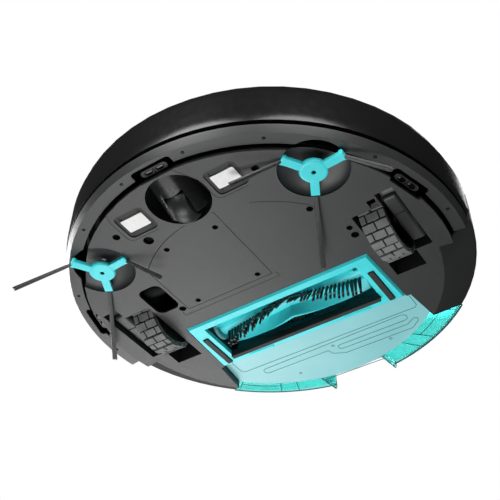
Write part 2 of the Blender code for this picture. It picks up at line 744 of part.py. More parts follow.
def fan():
    centre = (FAN_X, FAN_Y)
    wall = 0.0015
    inner = FAN_RADIUS - wall
    cup = [(0, FAN_LOW), (FAN_RADIUS, FAN_LOW), (FAN_RADIUS, FAN_HIGH), (inner, FAN_HIGH)]
    post = 0.0028
    cup += [(inner, FAN_LOW + wall), (post, FAN_LOW + wall), (post, FAN_LOW + 0.009), (0, FAN_LOW + 0.009)]
    housing = turned("fan_housing", MATTE_BLACK, cup, centre, steps=32)
    spout_y = (FAN_Y - 0.006, FAN_Y + 0.006)
    spout_x = (FAN_X - FAN_RADIUS - 0.011, FAN_X - FAN_RADIUS + 0.003)
    spout_z = (FAN_HIGH - 0.020, FAN_HIGH - 0.004)
    unite(housing, block("fan_spout", None, spout_x, spout_y, spout_z))
    throat_x = (spout_x[0] - 0.001, spout_x[1] + 0.006)
    throat_y = (spout_y[0] + wall, spout_y[1] - wall)
    throat_z = (spout_z[0] + wall, spout_z[1] - wall)
    cut(housing, block("fan_throat", None, throat_x, throat_y, throat_z))
    cut(housing, rod("fan_core", None, inner, (*centre, spout_z[0] + 0.001), (*centre, FAN_HIGH + 0.001), 32))
    low = FAN_LOW + 0.0125
    hub = [(0, low), (0.016, low), (0.016, low + 0.0015), (0.006, low + 0.003)]
    hub += [(0.005, low + 0.014), (0, low + 0.014)]
    wheel = turned("fan_impeller", COVER_GREY, hub, centre, steps=32)
    for blade in range(7):
        angle = 360 * blade / 7
        vane = [(0.003, -0.0006), (0.017, 0.0014), (0.017, 0.0026), (0.003, 0.0006)]
        vane = [(x + FAN_X, y + FAN_Y) for x, y in turned_about(vane, angle)]
        unite(wheel, prism("vane", None, vane, low + 0.0005, low + 0.011))
    cut(wheel, rod("impeller_bore", None, 0.002, (*centre, low - 0.001), (*centre, low + 0.006), 16))


def sensors():
    low = UNDERSIDE + SENSOR_RISE
    for place, (angle, inner) in SENSORS.items():
        half = SENSOR_HALF_LENGTH
        outline = rounded((inner, inner + SENSOR_DEPTH), (-half, half), 0.003)
        outline = turned_about(outline, angle)
        prism("cliff_sensor_" + place, MATTE_BLACK, outline, low, low + 0.008)


def charging_contacts():
    for place, side in (("left", 1), ("right", -1)):
        x_range = (CONTACT_X - CONTACT_LENGTH / 2, CONTACT_X + CONTACT_LENGTH / 2)
        y_mid = side * CONTACT_Y
        y_range = (y_mid - CONTACT_WIDTH / 2, y_mid + CONTACT_WIDTH / 2)
        outline = rounded(x_range, y_range, 0.0008, 2)
        prism("charging_contact_" + place, NICKEL, outline, UNDERSIDE + 0.0001, UNDERSIDE + 0.0008)


# ---------------------------------------------------------------- bumper


def bumper():
    outer = BODY_RADIUS
    inner = BUMPER_INNER
    chamfer = UNDERSIDE + CHAMFER_TOP
    high = UNDERSIDE + GROOVE_HIGH
    low = UNDERSIDE + GROOVE_LOW
    back = GROOVE_RADIUS
    profile = [(outer, WALL_TOP), (outer, chamfer), (outer - CHAMFER_INSET, high)]
    profile += [(back, high), (back, low + GAP)]
    profile += [(back - SKIN, low + GAP), (back - SKIN, high + SKIN), (inner - 0.0005, high + SKIN)]
    profile += [(inner, chamfer), (inner, WALL_TOP)]
    half = BUMPER_HALF_ANGLE
    turned("bumper_shell", GLOSS_BLACK, profile, start=-half, sweep=2 * half, steps=56)
    face = UNDERSIDE + RING_RISE
    edge = outer - CHAMFER_INSET
    lip = [(RING_INNER, face), (RING_OUTER, face), (edge, low - 0.0008), (edge, low)]
    lip += [(back - SKIN, low), (back - SKIN - 0.001, face + SKIN), (RING_INNER, face + SKIN)]
    ring = turned("bumper_ring", DARK_GREY, lip, start=-half, sweep=2 * half, steps=56)
    for angle, sensor_inner in SENSORS.values():
        length = SENSOR_HALF_LENGTH + 0.0055
        reach = sensor_inner + SENSOR_DEPTH + BUMPER_TRAVEL + 0.0005
        notch = rounded((RING_INNER - 0.006, reach), (-length, length), 0.003)
        notch = turned_about(notch, angle)
        cut(ring, prism("ring_notch", None, notch, face - 0.001, low - 0.0006))
    for side in (1, -1):
        spot = (SIDE_BRUSH_X, side * SIDE_BRUSH_Y)
        ends = ((*spot, face - 0.001), (*spot, low - 0.0006))
        cut(ring, rod("dish_relief", None, DISH_RADIUS - 0.0022, *ends, 40))
    for place, side in (("left", 1), ("right", -1)):
        y = side * BUMPER_SPRING_Y
        reach = BUMPER_SPRING_RADIUS + 0.001
        start = math.sqrt(TUB_RADIUS ** 2 - (BUMPER_SPRING_Y - reach) ** 2) + GAP
        end = math.sqrt((BUMPER_INNER - 0.0006) ** 2 - (BUMPER_SPRING_Y + reach) ** 2)
        ends = ((start, y, BUMPER_SPRING_Z), (end, y, BUMPER_SPRING_Z))
        coil("bumper_spring_" + place, STEEL, *ends, BUMPER_SPRING_RADIUS, 0.0004, 5)


# ---------------------------------------------------------------- drive wheels


def hull_outline(first, first_radius, second, second_radius, steps=10):
    # The outline of a belt pulled round two circles, as (x, z) points.
    across = Vector(second) - Vector(first)
    lean = math.degrees(math.atan2(across.y, across.x))
    open_angle = math.degrees(math.acos((first_radius - second_radius) / across.length))
    outline = arc(first, first_radius, lean + open_angle, lean + 360 - open_angle, steps)
    return outline + arc(second, second_radius, lean - open_angle, lean + open_angle, steps)


def drive_wheel(place, side):
    axle_z = WHEEL_RADIUS
    inner = WHEEL_Y - WHEEL_WIDTH / 2
    outer = WHEEL_Y + WHEEL_WIDTH / 2
    bead = WHEEL_RADIUS - TYRE_THICKNESS
    crown = WHEEL_RADIUS
    tyre = [(bead, inner), (crown - 0.001, inner), (crown, inner + 0.001), (crown, outer - 0.001)]
    tyre += [(crown - 0.001, outer), (bead, outer)]
    axis = (WHEEL_X, axle_z)
    turned("tyre_" + place, TYRE_RUBBER, [(r, side * y) for r, y in tyre], axis, 36, axis="Y")
    bore = AXLE_RADIUS + GAP
    rim_radius = bead - 0.0003
    rim = [(bore, inner + 0.001), (rim_radius, inner + 0.001), (rim_radius, outer - 0.001)]
    rim += [(rim_radius - 0.003, outer - 0.001), (rim_radius - 0.004, inner + 0.006)]
    rim += [(0.009, inner + 0.006), (0.008, outer - 0.001), (bore, outer - 0.001)]
    turned("wheel_rim_" + place, MATTE_BLACK, [(r, side * y) for r, y in rim], axis, 28, axis="Y")
    wheel_arm(place, side, axis, outer)


def wheel_arm(place, side, axis, tyre_face):
    near = tyre_face + ARM_WHEEL_GAP
    far = near + ARM_THICKNESS
    outline = hull_outline(axis, ARM_HUB_RADIUS, (ARM_PIVOT_X - 0.0030, ARM_PIVOT_Z), 0.0075)
    arm = side_prism("wheel_arm_" + place, MATTE_BLACK, outline, side * near, side * far)
    stub_end = WHEEL_Y - WHEEL_WIDTH / 2 + 0.0015
    ends = ((WHEEL_X, side * (near + 0.002), axis[1]), (WHEEL_X, side * stub_end, axis[1]))
    unite(arm, rod("axle_stub", None, AXLE_RADIUS, *ends))
    motor_face = WHEEL_Y - WHEEL_WIDTH / 2 - WELL_MARGIN - WELL_WALL - 0.001
    tip = far + 0.0029
    ends = ((ARM_PIVOT_X, side * (motor_face - 0.001), ARM_PIVOT_Z), (ARM_PIVOT_X, side * tip, ARM_PIVOT_Z))
    unite(arm, rod("trunnion", None, AXLE_RADIUS, *ends))
    start = (ARM_PIVOT_X, side * (motor_face - GAP), ARM_PIVOT_Z)
    end = (ARM_PIVOT_X, side * (motor_face - DRIVE_MOTOR_LENGTH), ARM_PIVOT_Z)
    motor = rod("drive_motor_" + place, STEEL, DRIVE_MOTOR_RADIUS, start, end, 28)
    bore_end = (ARM_PIVOT_X, side * (motor_face - 0.0015), ARM_PIVOT_Z)
    mouth = (ARM_PIVOT_X, side * (motor_face + 0.001), ARM_PIVOT_Z)
    cut(motor, rod("motor_bore", None, AXLE_RADIUS + GAP, bore_end, mouth))
    middle = side * (near + far) / 2
    low = axis[1] + ARM_HUB_RADIUS + GAP
    ends = ((WHEEL_X, middle, low), (WHEEL_X, middle, DECK_UNDER - GAP))
    coil("suspension_spring_" + place, STEEL, *ends, 0.0042, 0.0005, 6)


# ---------------------------------------------------------------- caster


def caster():
    low = UNDERSIDE + 0.0005
    roof = UNDERSIDE + CASTER_WELL_HEIGHT
    radius = CASTER_WELL_RADIUS - 0.0012
    centre = (CASTER_X, 0)
    profile = [(0, low), (radius, low), (radius, roof - 0.008), (radius - 0.006, roof - 0.001)]
    profile += [(CASTER_STEM_RADIUS, roof - 0.001), (CASTER_STEM_RADIUS, roof + 0.005), (0, roof + 0.005)]
    fork = turned("caster_fork", MATTE_BLACK, profile, centre, steps=40)
    wheel_x = CASTER_X - CASTER_TRAIL
    slope = [(CASTER_X - 0.004, low - 0.001), (CASTER_X + 0.04, low - 0.001), (CASTER_X + 0.04, low + 0.0115)]
    cut(fork, side_prism("fork_slope", None, slope, -0.04, 0.04))
    wheel_z = CASTER_RADIUS
    half = CASTER_WIDTH / 2
    room = CASTER_RADIUS + 0.0012
    ends = ((wheel_x, -half - 0.001, wheel_z), (wheel_x, half + 0.001, wheel_z))
    cut(fork, rod("wheel_room", None, room, *ends, 32))
    y_range = (-half - 0.001, half + 0.001)
    cut(fork, block("wheel_mouth", None, (wheel_x - room, wheel_x + room), y_range, (low - 0.001, wheel_z)))
    axle_half = half + 0.005
    bore = CASTER_AXLE_RADIUS + GAP
    ends = ((wheel_x, -axle_half - 0.0005, wheel_z), (wheel_x, axle_half + 0.0005, wheel_z))
    slot_y = (-axle_half - 0.0005, axle_half + 0.0005)
    cut(fork, rod("axle_bore", None, bore, *ends, 20))
    cut(fork, block("axle_slot", None, (wheel_x - bore, wheel_x + bore), slot_y, (low - 0.001, wheel_z)))
    crown = CASTER_RADIUS
    barrel = [(CASTER_AXLE_RADIUS + 0.0003, -half), (crown - 0.003, -half), (crown - 0.001, -half + 0.003)]
    barrel += [(crown, -0.002), (crown, 0.002), (crown - 0.001, half - 0.003), (crown - 0.003, half)]
    barrel += [(CASTER_AXLE_RADIUS + 0.0003, half)]
    turned("caster_wheel", MATTE_BLACK, barrel, (wheel_x, wheel_z), 36, axis="Y")
    ends = ((wheel_x, -axle_half, wheel_z), (wheel_x, axle_half, wheel_z))
    rod("caster_axle", STEEL, CASTER_AXLE_RADIUS, *ends, 20)


# ---------------------------------------------------------------- side brushes

def side_brush(place, side):
    centre = Vector((SIDE_BRUSH_X, side * SIDE_BRUSH_Y, 0))
    low = UNDERSIDE - HUB_DROP
    top = UNDERSIDE + DISH_DEPTH
    dome = [(0, low), (HUB_RADIUS - 0.004, low), (HUB_RADIUS - 0.001, low + 0.0012)]
    dome += [(HUB_RADIUS, low + 0.003), (HUB_RADIUS, low + 0.005), (0.006, low + 0.0065)]
    dome += [(0.006, top - RUNNING_GAP), (STEM_RADIUS, top - RUNNING_GAP)]
    dome += [(STEM_RADIUS, top + 0.0018), (0, top + 0.0018)]
    hub = turned("side_brush_hub_" + place, TURQUOISE, dome, centre[:2], steps=24)
    root = low + 0.0012
    for angle in ARM_ANGLES:
        arm = rounded((0.008, ARM_REACH), (-0.0033, 0.0033), 0.0012, 2)
        arm = [(x + centre.x, y + centre.y) for x, y in turned_about(arm, angle)]
        unite(hub, prism("hub_arm", None, arm, low + 0.0004, low + 0.0042))
    cut(hub, rod("hub_recess", None, 0.0024, (*centre[:2], low - 0.001), (*centre[:2], low + 0.003), 16))
    ends = ((*centre[:2], low + 0.0012), (*centre[:2], low + 0.0027))
    rod("side_brush_screw_" + place, STEEL, 0.0019, *ends, 16)
    for index, angle in enumerate(ARM_ANGLES):
        radians = math.radians(angle)
        outward = Vector((math.cos(radians), math.sin(radians), 0))
        start = centre + outward * (ARM_REACH + 0.0014) + Vector((0, 0, root + 0.0002))
        tip = centre + Vector(TUFT_TIPS[place][index])
        points = [start, start.lerp(tip, 0.33), start.lerp(tip, 0.67), tip]
        name = "bristle_tuft_" + place + "_" + str(index + 1)
        sweep(name, BRISTLE, points, lambda share: 0.0012 + 0.0009 * share, 2)
    motor_low = top + 0.002 + GAP
    spot = (centre.x - SIDE_MOTOR_INSET, centre.y - side * SIDE_MOTOR_INSET)
    ends = ((*spot, motor_low), (*spot, motor_low + SIDE_MOTOR_HEIGHT))
    rod("side_brush_motor_" + place, STEEL, SIDE_MOTOR_RADIUS, *ends, 28)


# ---------------------------------------------------------------- main brush and its drive


def helical_rib(name, skin, inner, outer, thickness, start, half_length, sweep_angle):
    # A rib that runs along the roller and turns back at the middle, like a chevron.
    shape = bmesh.new()
    rings = []
    stations = 12
    for step in range(stations + 1):
        y = half_length * (2 * step / stations - 1)
        angle = math.radians(start + sweep_angle * (1 - abs(y) / half_length))
        outward = Vector((math.cos(angle), 0, math.sin(angle)))
        across = Vector((-math.sin(angle), 0, math.cos(angle))) * (thickness / 2)
        base = Vector((BRUSH_X, y, BRUSH_AXIS_Z))
        corners = [outward * inner - across, outward * outer - across]
        corners += [outward * outer + across, outward * inner + across]
        rings.append([shape.verts.new(base + corner) for corner in corners])
    loft(shape, rings, False)
    return finish_mesh(name, shape, skin)


def main_brush():
    half = BRUSH_HALF_LENGTH
    axis = (BRUSH_X, BRUSH_AXIS_Z)
    stub = AXLE_RADIUS + 0.001
    pulley_end = PULLEY_Y + PULLEY_WIDTH / 2
    core = [(0, -CHAMBER_HALF_WIDTH + 0.0006), (stub, -CHAMBER_HALF_WIDTH + 0.0006), (stub, -half)]
    core += [(BRUSH_CORE_RADIUS, -half), (BRUSH_CORE_RADIUS, half), (stub, half)]
    core += [(stub, pulley_end), (0, pulley_end)]
    roller = turned("brush_roller", TURQUOISE, core, axis, 32, axis="Y")
    rib_half = half - 0.0028
    spacing = 360 / BRUSH_ROWS
    bristle_inner = BRUSH_CORE_RADIUS + 0.0003
    collar = [(bristle_inner, half - 0.0022), (bristle_inner + 0.002, half - 0.0022)]
    collar += [(bristle_inner + 0.002, half - 0.0004), (bristle_inner, half - 0.0004)]
    rows = turned("brush_bristles", BRISTLE, collar, axis, 32, axis="Y")
    other = [(radius, -y) for radius, y in collar]
    for row in range(BRUSH_ROWS):
        start = 200 + spacing * row
        reach = (BRUSH_CORE_RADIUS - 0.0005, BRUSH_RADIUS - 0.003)
        unite(roller, helical_rib("rib", None, *reach, 0.0024, start, rib_half, BRUSH_SWEEP))
        reach = (bristle_inner + 0.0001, BRUSH_RADIUS)
        start += spacing / 2
        unite(rows, helical_rib("row", None, *reach, 0.003, start, half - 0.001, BRUSH_SWEEP))
    unite(rows, turned("far_collar", None, other, axis, 32, axis="Y"))
    bearing = [(stub + GAP, -CHAMBER_HALF_WIDTH + GAP), (0.012, -CHAMBER_HALF_WIDTH + GAP)]
    bearing += [(0.012, -CHAMBER_HALF_WIDTH + 0.003), (stub + GAP, -CHAMBER_HALF_WIDTH + 0.003)]
    turned("brush_bearing", PALE_TEAL, bearing, axis, 28, axis="Y")
    brush_drive(axis, stub)


def pulley_profile(bore, radius):
    near = PULLEY_Y - PULLEY_WIDTH / 2
    far = PULLEY_Y + PULLEY_WIDTH / 2
    return [(bore, near), (radius, near), (radius, far), (bore, far)]


def brush_drive(axis, stub):
    profile = pulley_profile(stub + 0.0003, BRUSH_PULLEY_RADIUS)
    turned("brush_pulley", MATTE_BLACK, profile, axis, 32, axis="Y")
    motor_axis = (BRUSH_MOTOR_X, BRUSH_MOTOR_Z)
    face = CHAMBER_HALF_WIDTH + CHAMBER_WALL
    shaft = 0.0016
    near = PULLEY_Y - PULLEY_WIDTH / 2
    far = PULLEY_Y + PULLEY_WIDTH / 2
    profile = [(0, face - 0.012), (shaft, face - 0.012), (shaft, near)]
    profile += [(MOTOR_PULLEY_RADIUS, near), (MOTOR_PULLEY_RADIUS, far), (0, far)]
    turned("motor_pulley", STEEL, profile, motor_axis, 24, axis="Y")
    start = (BRUSH_MOTOR_X, face, BRUSH_MOTOR_Z)
    end = (BRUSH_MOTOR_X, face - BRUSH_MOTOR_LENGTH, BRUSH_MOTOR_Z)
    motor = rod("brush_motor", STEEL, BRUSH_MOTOR_RADIUS, start, end, 32)
    bore_start = (BRUSH_MOTOR_X, face + 0.001, BRUSH_MOTOR_Z)
    bore_end = (BRUSH_MOTOR_X, face - 0.0125, BRUSH_MOTOR_Z)
    cut(motor, rod("shaft_bore", None, shaft + 0.0003, bore_start, bore_end, 20))
    slack = 0.0003
    inner = hull_outline(axis, BRUSH_PULLEY_RADIUS + slack, motor_axis, MOTOR_PULLEY_RADIUS + slack, 14)
    thick = slack + BELT_THICKNESS
    outer = hull_outline(axis, BRUSH_PULLEY_RADIUS + thick, motor_axis, MOTOR_PULLEY_RADIUS + thick, 14)
    half = PULLEY_WIDTH / 2 - 0.0004
    belt = side_prism("drive_belt", BLACK_RUBBER, outer, PULLEY_Y - half, PULLEY_Y + half)
    cut(belt, side_prism("belt_hole", None, inner, PULLEY_Y - half - 0.001, PULLEY_Y + half + 0.001))


# ---------------------------------------------------------------- brush guard


def brush_guard():
    low = UNDERSIDE - GUARD_DROP
    shoulder = UNDERSIDE + 0.0004
    top = PLATE_TOP
    shape = bmesh.new()
    rings = []
    for margin, height in ((-0.0016, low), (0.0, shoulder), (0.0, top)):
        outline = guard_outline(margin, GUARD_FRONT, GUARD_REAR)
        rings.append([shape.verts.new((x, y, height)) for x, y in outline])
    loft(shape, rings, False)
    frame = finish_mesh("brush_guard_frame", shape, TURQUOISE)
    window = rectangle((WINDOW_REAR, WINDOW_FRONT), (-WINDOW_HALF, WINDOW_HALF))
    cut(frame, prism("window", None, window, low - 0.001, top + 0.001))
    for place, side in (("left", 1), ("right", -1)):
        y_range = (side * (STRIP_Y - STRIP_WIDTH / 2), side * (STRIP_Y + STRIP_WIDTH / 2))
        slot_x = (GUARD_REAR + 0.003, GUARD_REAR + 0.003 + STRIP_LENGTH)
        slot = rounded(slot_x, y_range, 0.0006, 2)
        cut(frame, prism("strip_slot", None, slot, low - 0.001, low + 0.0022))
        y_range = (y_range[0] + side * GAP, y_range[1] - side * GAP)
        strip = rounded((slot_x[0] + GAP, slot_x[1] - GAP), y_range, 0.0004, 2)
        prism("guard_strip_" + place, BLACK_RUBBER, strip, low - 0.0012, low + 0.0022 - GAP)
    x_range = (WINDOW_REAR + 0.0003, WINDOW_REAR + 0.0003 + SCRAPER_THICKNESS)
    y_range = (-WINDOW_HALF + 0.0004, WINDOW_HALF - 0.0004)
    block("guard_scraper", BLACK_RUBBER, x_range, y_range, (low - 0.0035, top - 0.001))


# ---------------------------------------------------------------- dust tank


def tank_hull_profile(inset, low):
    rim_z = UNDERSIDE + RIM_RISE + 0.0005
    outer = BODY_RADIUS - inset
    slope_low = (TANK_BASE_RADIUS, low)
    points = [(0, low), slope_low, (outer - 0.002, rim_z + inset), (outer, rim_z + 0.002 + inset)]
    return points + [(outer, WALL_TOP - inset), (0, WALL_TOP - inset)]


def dust_tank():
    base_low = UNDERSIDE + TANK_RISE
    base_top = base_low + TANK_BASE_THICKNESS
    outline = tank_outline(0.0, BODY_RADIUS + 0.004, 16)
    plate = prism("tank_base", PALE_TEAL, outline, base_low, base_top)
    disc = [(0, base_low - 0.001), (TANK_BASE_RADIUS, base_low - 0.001), (TANK_BASE_RADIUS, base_top + 0.001)]
    keep_inside(plate, turned("base_limit", None, disc + [(0, base_top + 0.001)], steps=96))
    low = base_top + 0.0003
    shell = prism("tank_shell", CLEAR_TEAL, outline, low - 0.001, WALL_TOP + 0.001)
    keep_inside(shell, turned("shell_limit", None, tank_hull_profile(0.0, low), steps=96))
    wall = TANK_SKIN
    cavity_outline = tank_outline(-wall, BODY_RADIUS + 0.004, 16)
    cavity = prism("cavity", None, cavity_outline, low + wall, WALL_TOP - wall)
    inside = tank_hull_profile(wall, low + wall)
    keep_inside(cavity, turned("cavity_limit", None, inside, steps=96))
    outside = -BODY_RADIUS - 0.01
    lining_y = (-GRIP_HALF - wall, GRIP_HALF + wall)
    lining_z = (low - 0.003, GRIP_TOP + wall)
    cut(cavity, block("grip_lining", None, (outside, GRIP_FRONT + wall), lining_y, lining_z))
    cut(shell, cavity)
    inlet_x = (TANK_FRONT - wall - 0.002, TANK_FRONT + 0.002)
    inlet_y = (-INLET_HALF, INLET_HALF)
    cut(shell, block("tank_inlet", None, inlet_x, inlet_y, (INLET_LOW, INLET_HIGH)))
    for side in (1, -1):
        fin = [(GRIP_FRONT + 0.004, low + 0.002), (GRIP_FRONT + 0.003, base_low + 0.0005)]
        fin += [(0.001 - FIN_RADIUS, base_low + 0.005), (-FIN_RADIUS, base_low + 0.0075)]
        fin += [(0.001 - FIN_RADIUS, base_low + 0.014)]
        unite(shell, side_prism("fin", None, fin, side * GRIP_HALF, side * (GRIP_HALF + wall)))
    grip_z = (low - 0.004, GRIP_TOP)
    cut(shell, block("grip_recess", None, (outside, GRIP_FRONT), (-GRIP_HALF, GRIP_HALF), grip_z))
    hole_x = (GRIP_FRONT - 0.001, GRIP_FRONT + wall + 0.001)
    hole_y = (-LATCH_HALF - GAP, LATCH_HALF + GAP)
    hole_z = (LATCH_LOW - GAP, LATCH_HIGH + GAP)
    cut(shell, block("latch_hole", None, hole_x, hole_y, hole_z))
    face = (GRIP_FRONT - 0.003, GRIP_FRONT + wall + 0.0022)
    latch = block("tank_latch", TURQUOISE, face, (-LATCH_HALF, LATCH_HALF), (LATCH_LOW, LATCH_HIGH))
    flange_x = (GRIP_FRONT + wall + GAP, GRIP_FRONT + wall + 0.0022)
    flange_y = (-LATCH_HALF - 0.002, LATCH_HALF + 0.002)
    unite(latch, block("latch_flange", None, flange_x, flange_y, (LATCH_LOW - 0.002, LATCH_HIGH + 0.002)))
    filter_high = WALL_TOP - wall - GAP
    block("tank_filter", FILTER_WHITE, (-0.122, -0.078), (-0.040, 0.040), (filter_high - 0.0045, filter_high))


# ---------------------------------------------------------------- the whole machine

chassis()
top_shell()
top_cover()
power_button()
battery()
main_board()
fan()
sensors()
charging_contacts()
bumper()
for SIDE_NAME, SIDE in (("left", 1), ("right", -1)):
    drive_wheel(SIDE_NAME, SIDE)
    side_brush(SIDE_NAME, SIDE)
caster()
main_brush()
brush_guard()
dust_tank()
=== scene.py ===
import json
import math

import bpy
from mathutils import Matrix, Vector


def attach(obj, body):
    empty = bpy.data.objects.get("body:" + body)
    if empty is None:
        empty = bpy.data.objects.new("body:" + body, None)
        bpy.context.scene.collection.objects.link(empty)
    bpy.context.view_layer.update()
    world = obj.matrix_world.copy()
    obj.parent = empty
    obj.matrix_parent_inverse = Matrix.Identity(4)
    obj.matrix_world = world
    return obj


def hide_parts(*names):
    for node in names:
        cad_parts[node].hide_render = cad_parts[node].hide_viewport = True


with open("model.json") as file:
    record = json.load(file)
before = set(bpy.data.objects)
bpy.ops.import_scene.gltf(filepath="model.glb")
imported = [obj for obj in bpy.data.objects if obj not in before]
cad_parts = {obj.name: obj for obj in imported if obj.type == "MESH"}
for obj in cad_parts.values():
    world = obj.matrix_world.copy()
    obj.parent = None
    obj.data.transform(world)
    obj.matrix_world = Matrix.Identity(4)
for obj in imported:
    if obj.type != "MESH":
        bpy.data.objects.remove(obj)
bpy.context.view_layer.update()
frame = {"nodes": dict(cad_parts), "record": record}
print("frame loaded")


# Helpers that every piece uses.
def deselectAll():
    bpy.ops.object.select_all(action="DESELECT")


def activate(piece):
    deselectAll()
    piece.select_set(True)
    bpy.context.view_layer.objects.active = piece
    return piece


def applyPlace(piece):
    activate(piece)
    bpy.ops.object.transform_apply(location=True, rotation=True, scale=True)
    return piece


def joinPieces(pieces):
    deselectAll()
    for piece in pieces:
        piece.select_set(True)
    bpy.context.view_layer.objects.active = pieces[0]
    if len(pieces) > 1:
        bpy.ops.object.join()
    return applyPlace(bpy.context.active_object)


def applyModifiers(piece):
    activate(piece)
    for modifier in list(piece.modifiers):
        bpy.ops.object.modifier_apply(modifier=modifier.name)
    return piece


def bevelEdges(piece, width, segments=2, angle=35):
    modifier = piece.modifiers.new("Edge", "BEVEL")
    modifier.width = width
    modifier.segments = segments
    modifier.limit_method = "ANGLE"
    modifier.angle_limit = math.radians(angle)
    return applyModifiers(piece)


def placedCopy(piece, place):
    # A copy with its own mesh, put where the matrix says.
    copy = piece.copy()
    copy.data = piece.data.copy()
    bpy.context.collection.objects.link(copy)
    copy.matrix_world = place
    return copy


def pickFaces(piece, wanted):
    # Leaves the piece in edit mode with only the wanted faces selected.
    activate(piece)
    bpy.ops.object.mode_set(mode="EDIT")
    bpy.ops.mesh.select_mode(type="FACE")
    bpy.ops.mesh.select_all(action="DESELECT")
    bpy.ops.object.mode_set(mode="OBJECT")
    for face in piece.data.polygons:
        face.select = wanted(face)
    bpy.ops.object.mode_set(mode="EDIT")


def combine(piece, tool, operation):
    step = piece.modifiers.new(operation.capitalize(), "BOOLEAN")
    step.operation = operation
    step.solver = "EXACT"
    step.object = tool
    applyModifiers(piece)
    bpy.data.objects.remove(tool)
    return piece


def addBox(size, place, turn=(0, 0, 0)):
    bpy.ops.mesh.primitive_cube_add(size=1, location=place, rotation=turn)
    box = bpy.context.active_object
    box.scale = size
    return applyPlace(box)


def addRod(radius, start, end, sides=32):
    along = Vector(end) - Vector(start)
    turn = along.to_track_quat("Z", "Y").to_euler()
    middle = (Vector(start) + Vector(end)) / 2
    bpy.ops.mesh.primitive_cylinder_add(vertices=sides, radius=radius, depth=along.length,
                                        location=middle, rotation=turn)
    return applyPlace(bpy.context.active_object)


def finishPiece(piece, name, body, material, replaced=(), smoothAngle=35):
    applyPlace(piece)
    bpy.ops.object.shade_smooth_by_angle(angle=math.radians(smoothAngle))
    steady = piece.modifiers.new("FlatFaces", "WEIGHTED_NORMAL")
    steady.keep_sharp = True
    applyModifiers(piece)
    piece.name = name
    piece.data.name = name
    piece.data.materials.clear()
    piece.data.materials.append(material)
    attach(piece, body)
    if replaced:
        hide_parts(*replaced)
    return piece


# Materials, each made from one look.
def linearColour(code, alpha=1.0):
    channels = [int(code[i:i + 2], 16) / 255 for i in (1, 3, 5)]
    linear = [c / 12.92 if c <= 0.04045 else ((c + 0.055) / 1.055) ** 2.4 for c in channels]
    return (*linear, alpha)


def addNode(tree, kind, settings=None, links=None):
    node = tree.nodes.new(kind)
    for key, value in (settings or {}).items():
        if key in node.inputs:
            node.inputs[key].default_value = value
        else:
            setattr(node, key, value)
    for key, source in (links or {}).items():
        tree.links.new(source, node.inputs[key])
    return node


def mouldedSurface(name, look):
    # Two tones drift across the surface, and a fine grain varies the gloss and raises the relief.
    material = bpy.data.materials.new(name)
    material.use_nodes = True
    tree = material.node_tree
    shader = tree.nodes["Principled BSDF"]
    place = addNode(tree, "ShaderNodeTexCoord").outputs["Object"]
    drift = addNode(tree, "ShaderNodeTexNoise", {"Scale": 1000 / look["driftMm"], "Detail": 3.0},
                    {"Vector": place})
    grain = addNode(tree, "ShaderNodeTexNoise", {"Scale": 1000 / look["grainMm"], "Detail": 2.0},
                    {"Vector": place})
    tones = addNode(tree, "ShaderNodeValToRGB", links={"Fac": drift.outputs["Fac"]})
    tones.color_ramp.elements[0].position = 0.3
    tones.color_ramp.elements[1].position = 0.7
    tones.color_ramp.elements[0].color = linearColour(look["darkTone"])
    tones.color_ramp.elements[1].color = linearColour(look["lightTone"])
    tree.links.new(tones.outputs["Color"], shader.inputs["Base Color"])
    low, high = look["roughness"]
    spread = {"From Min": 0.35, "From Max": 0.65, "To Min": low, "To Max": high}
    gloss = addNode(tree, "ShaderNodeMapRange", spread, {"Value": grain.outputs["Fac"]})
    tree.links.new(gloss.outputs["Result"], shader.inputs["Roughness"])
    relief = {"Strength": look["grainDepth"], "Distance": look["grainMm"] / 4000}
    bump = addNode(tree, "ShaderNodeBump", relief, {"Height": grain.outputs["Fac"]})
    tree.links.new(bump.outputs["Normal"], shader.inputs["Normal"])
    for socket in ("Metallic", "IOR", "Coat Weight", "Coat Roughness", "Transmission Weight", "Sheen Weight"):
        if socket in look:
            shader.inputs[socket].default_value = look[socket]
    return material


# Spark-eroded ABS: satin, a little chalky where light rakes it.
chassisAbs = mouldedSurface("chassisAbsSatin", {
    "darkTone": "#2E2F30", "lightTone": "#343536", "driftMm": 60, "grainMm": 1.6, "grainDepth": 0.05,
    "roughness": (0.40, 0.50), "IOR": 1.53})
# The same ABS on the bumper's foot, a shade lighter because it is a separate moulding.
ringAbs = mouldedSurface("ringAbsSatin", {
    "darkTone": "#323334", "lightTone": "#383939", "driftMm": 50, "grainMm": 1.4, "grainDepth": 0.05,
    "roughness": (0.34, 0.46), "IOR": 1.53})
# Darker inlay round the charging contacts, rougher than the plate so that it stays dark.
bezelAbs = mouldedSurface("bezelAbsMatte", {
    "darkTone": "#222324", "lightTone": "#282929", "driftMm": 15, "grainMm": 1.0, "grainDepth": 0.05,
    "roughness": (0.60, 0.70), "IOR": 1.53})
# Gloss black ABS, dark, with broad soft reflections.
bumperAbs = mouldedSurface("bumperAbsGloss", {
    "darkTone": "#171718", "lightTone": "#1B1B1C", "driftMm": 90, "grainMm": 6, "grainDepth": 0.003,
    "roughness": (0.22, 0.26), "IOR": 1.53})
# Black nylon, moulded matte, for arms, rims, sensor housings and the caster wheel.
blackNylon = mouldedSurface("blackNylonMatte", {
    "darkTone": "#1E1F20", "lightTone": "#272829", "driftMm": 20, "grainMm": 1.2, "grainDepth": 0.15,
    "roughness": (0.36, 0.50), "IOR": 1.53})
# Grey filled nylon on the gearbox covers, a touch lighter than the bare arms.
coverNylon = mouldedSurface("glassFilledNylon", {
    "darkTone": "#2E2F30", "lightTone": "#363738", "driftMm": 20, "grainMm": 1.2, "grainDepth": 0.05,
    "roughness": (0.38, 0.48), "IOR": 1.53})
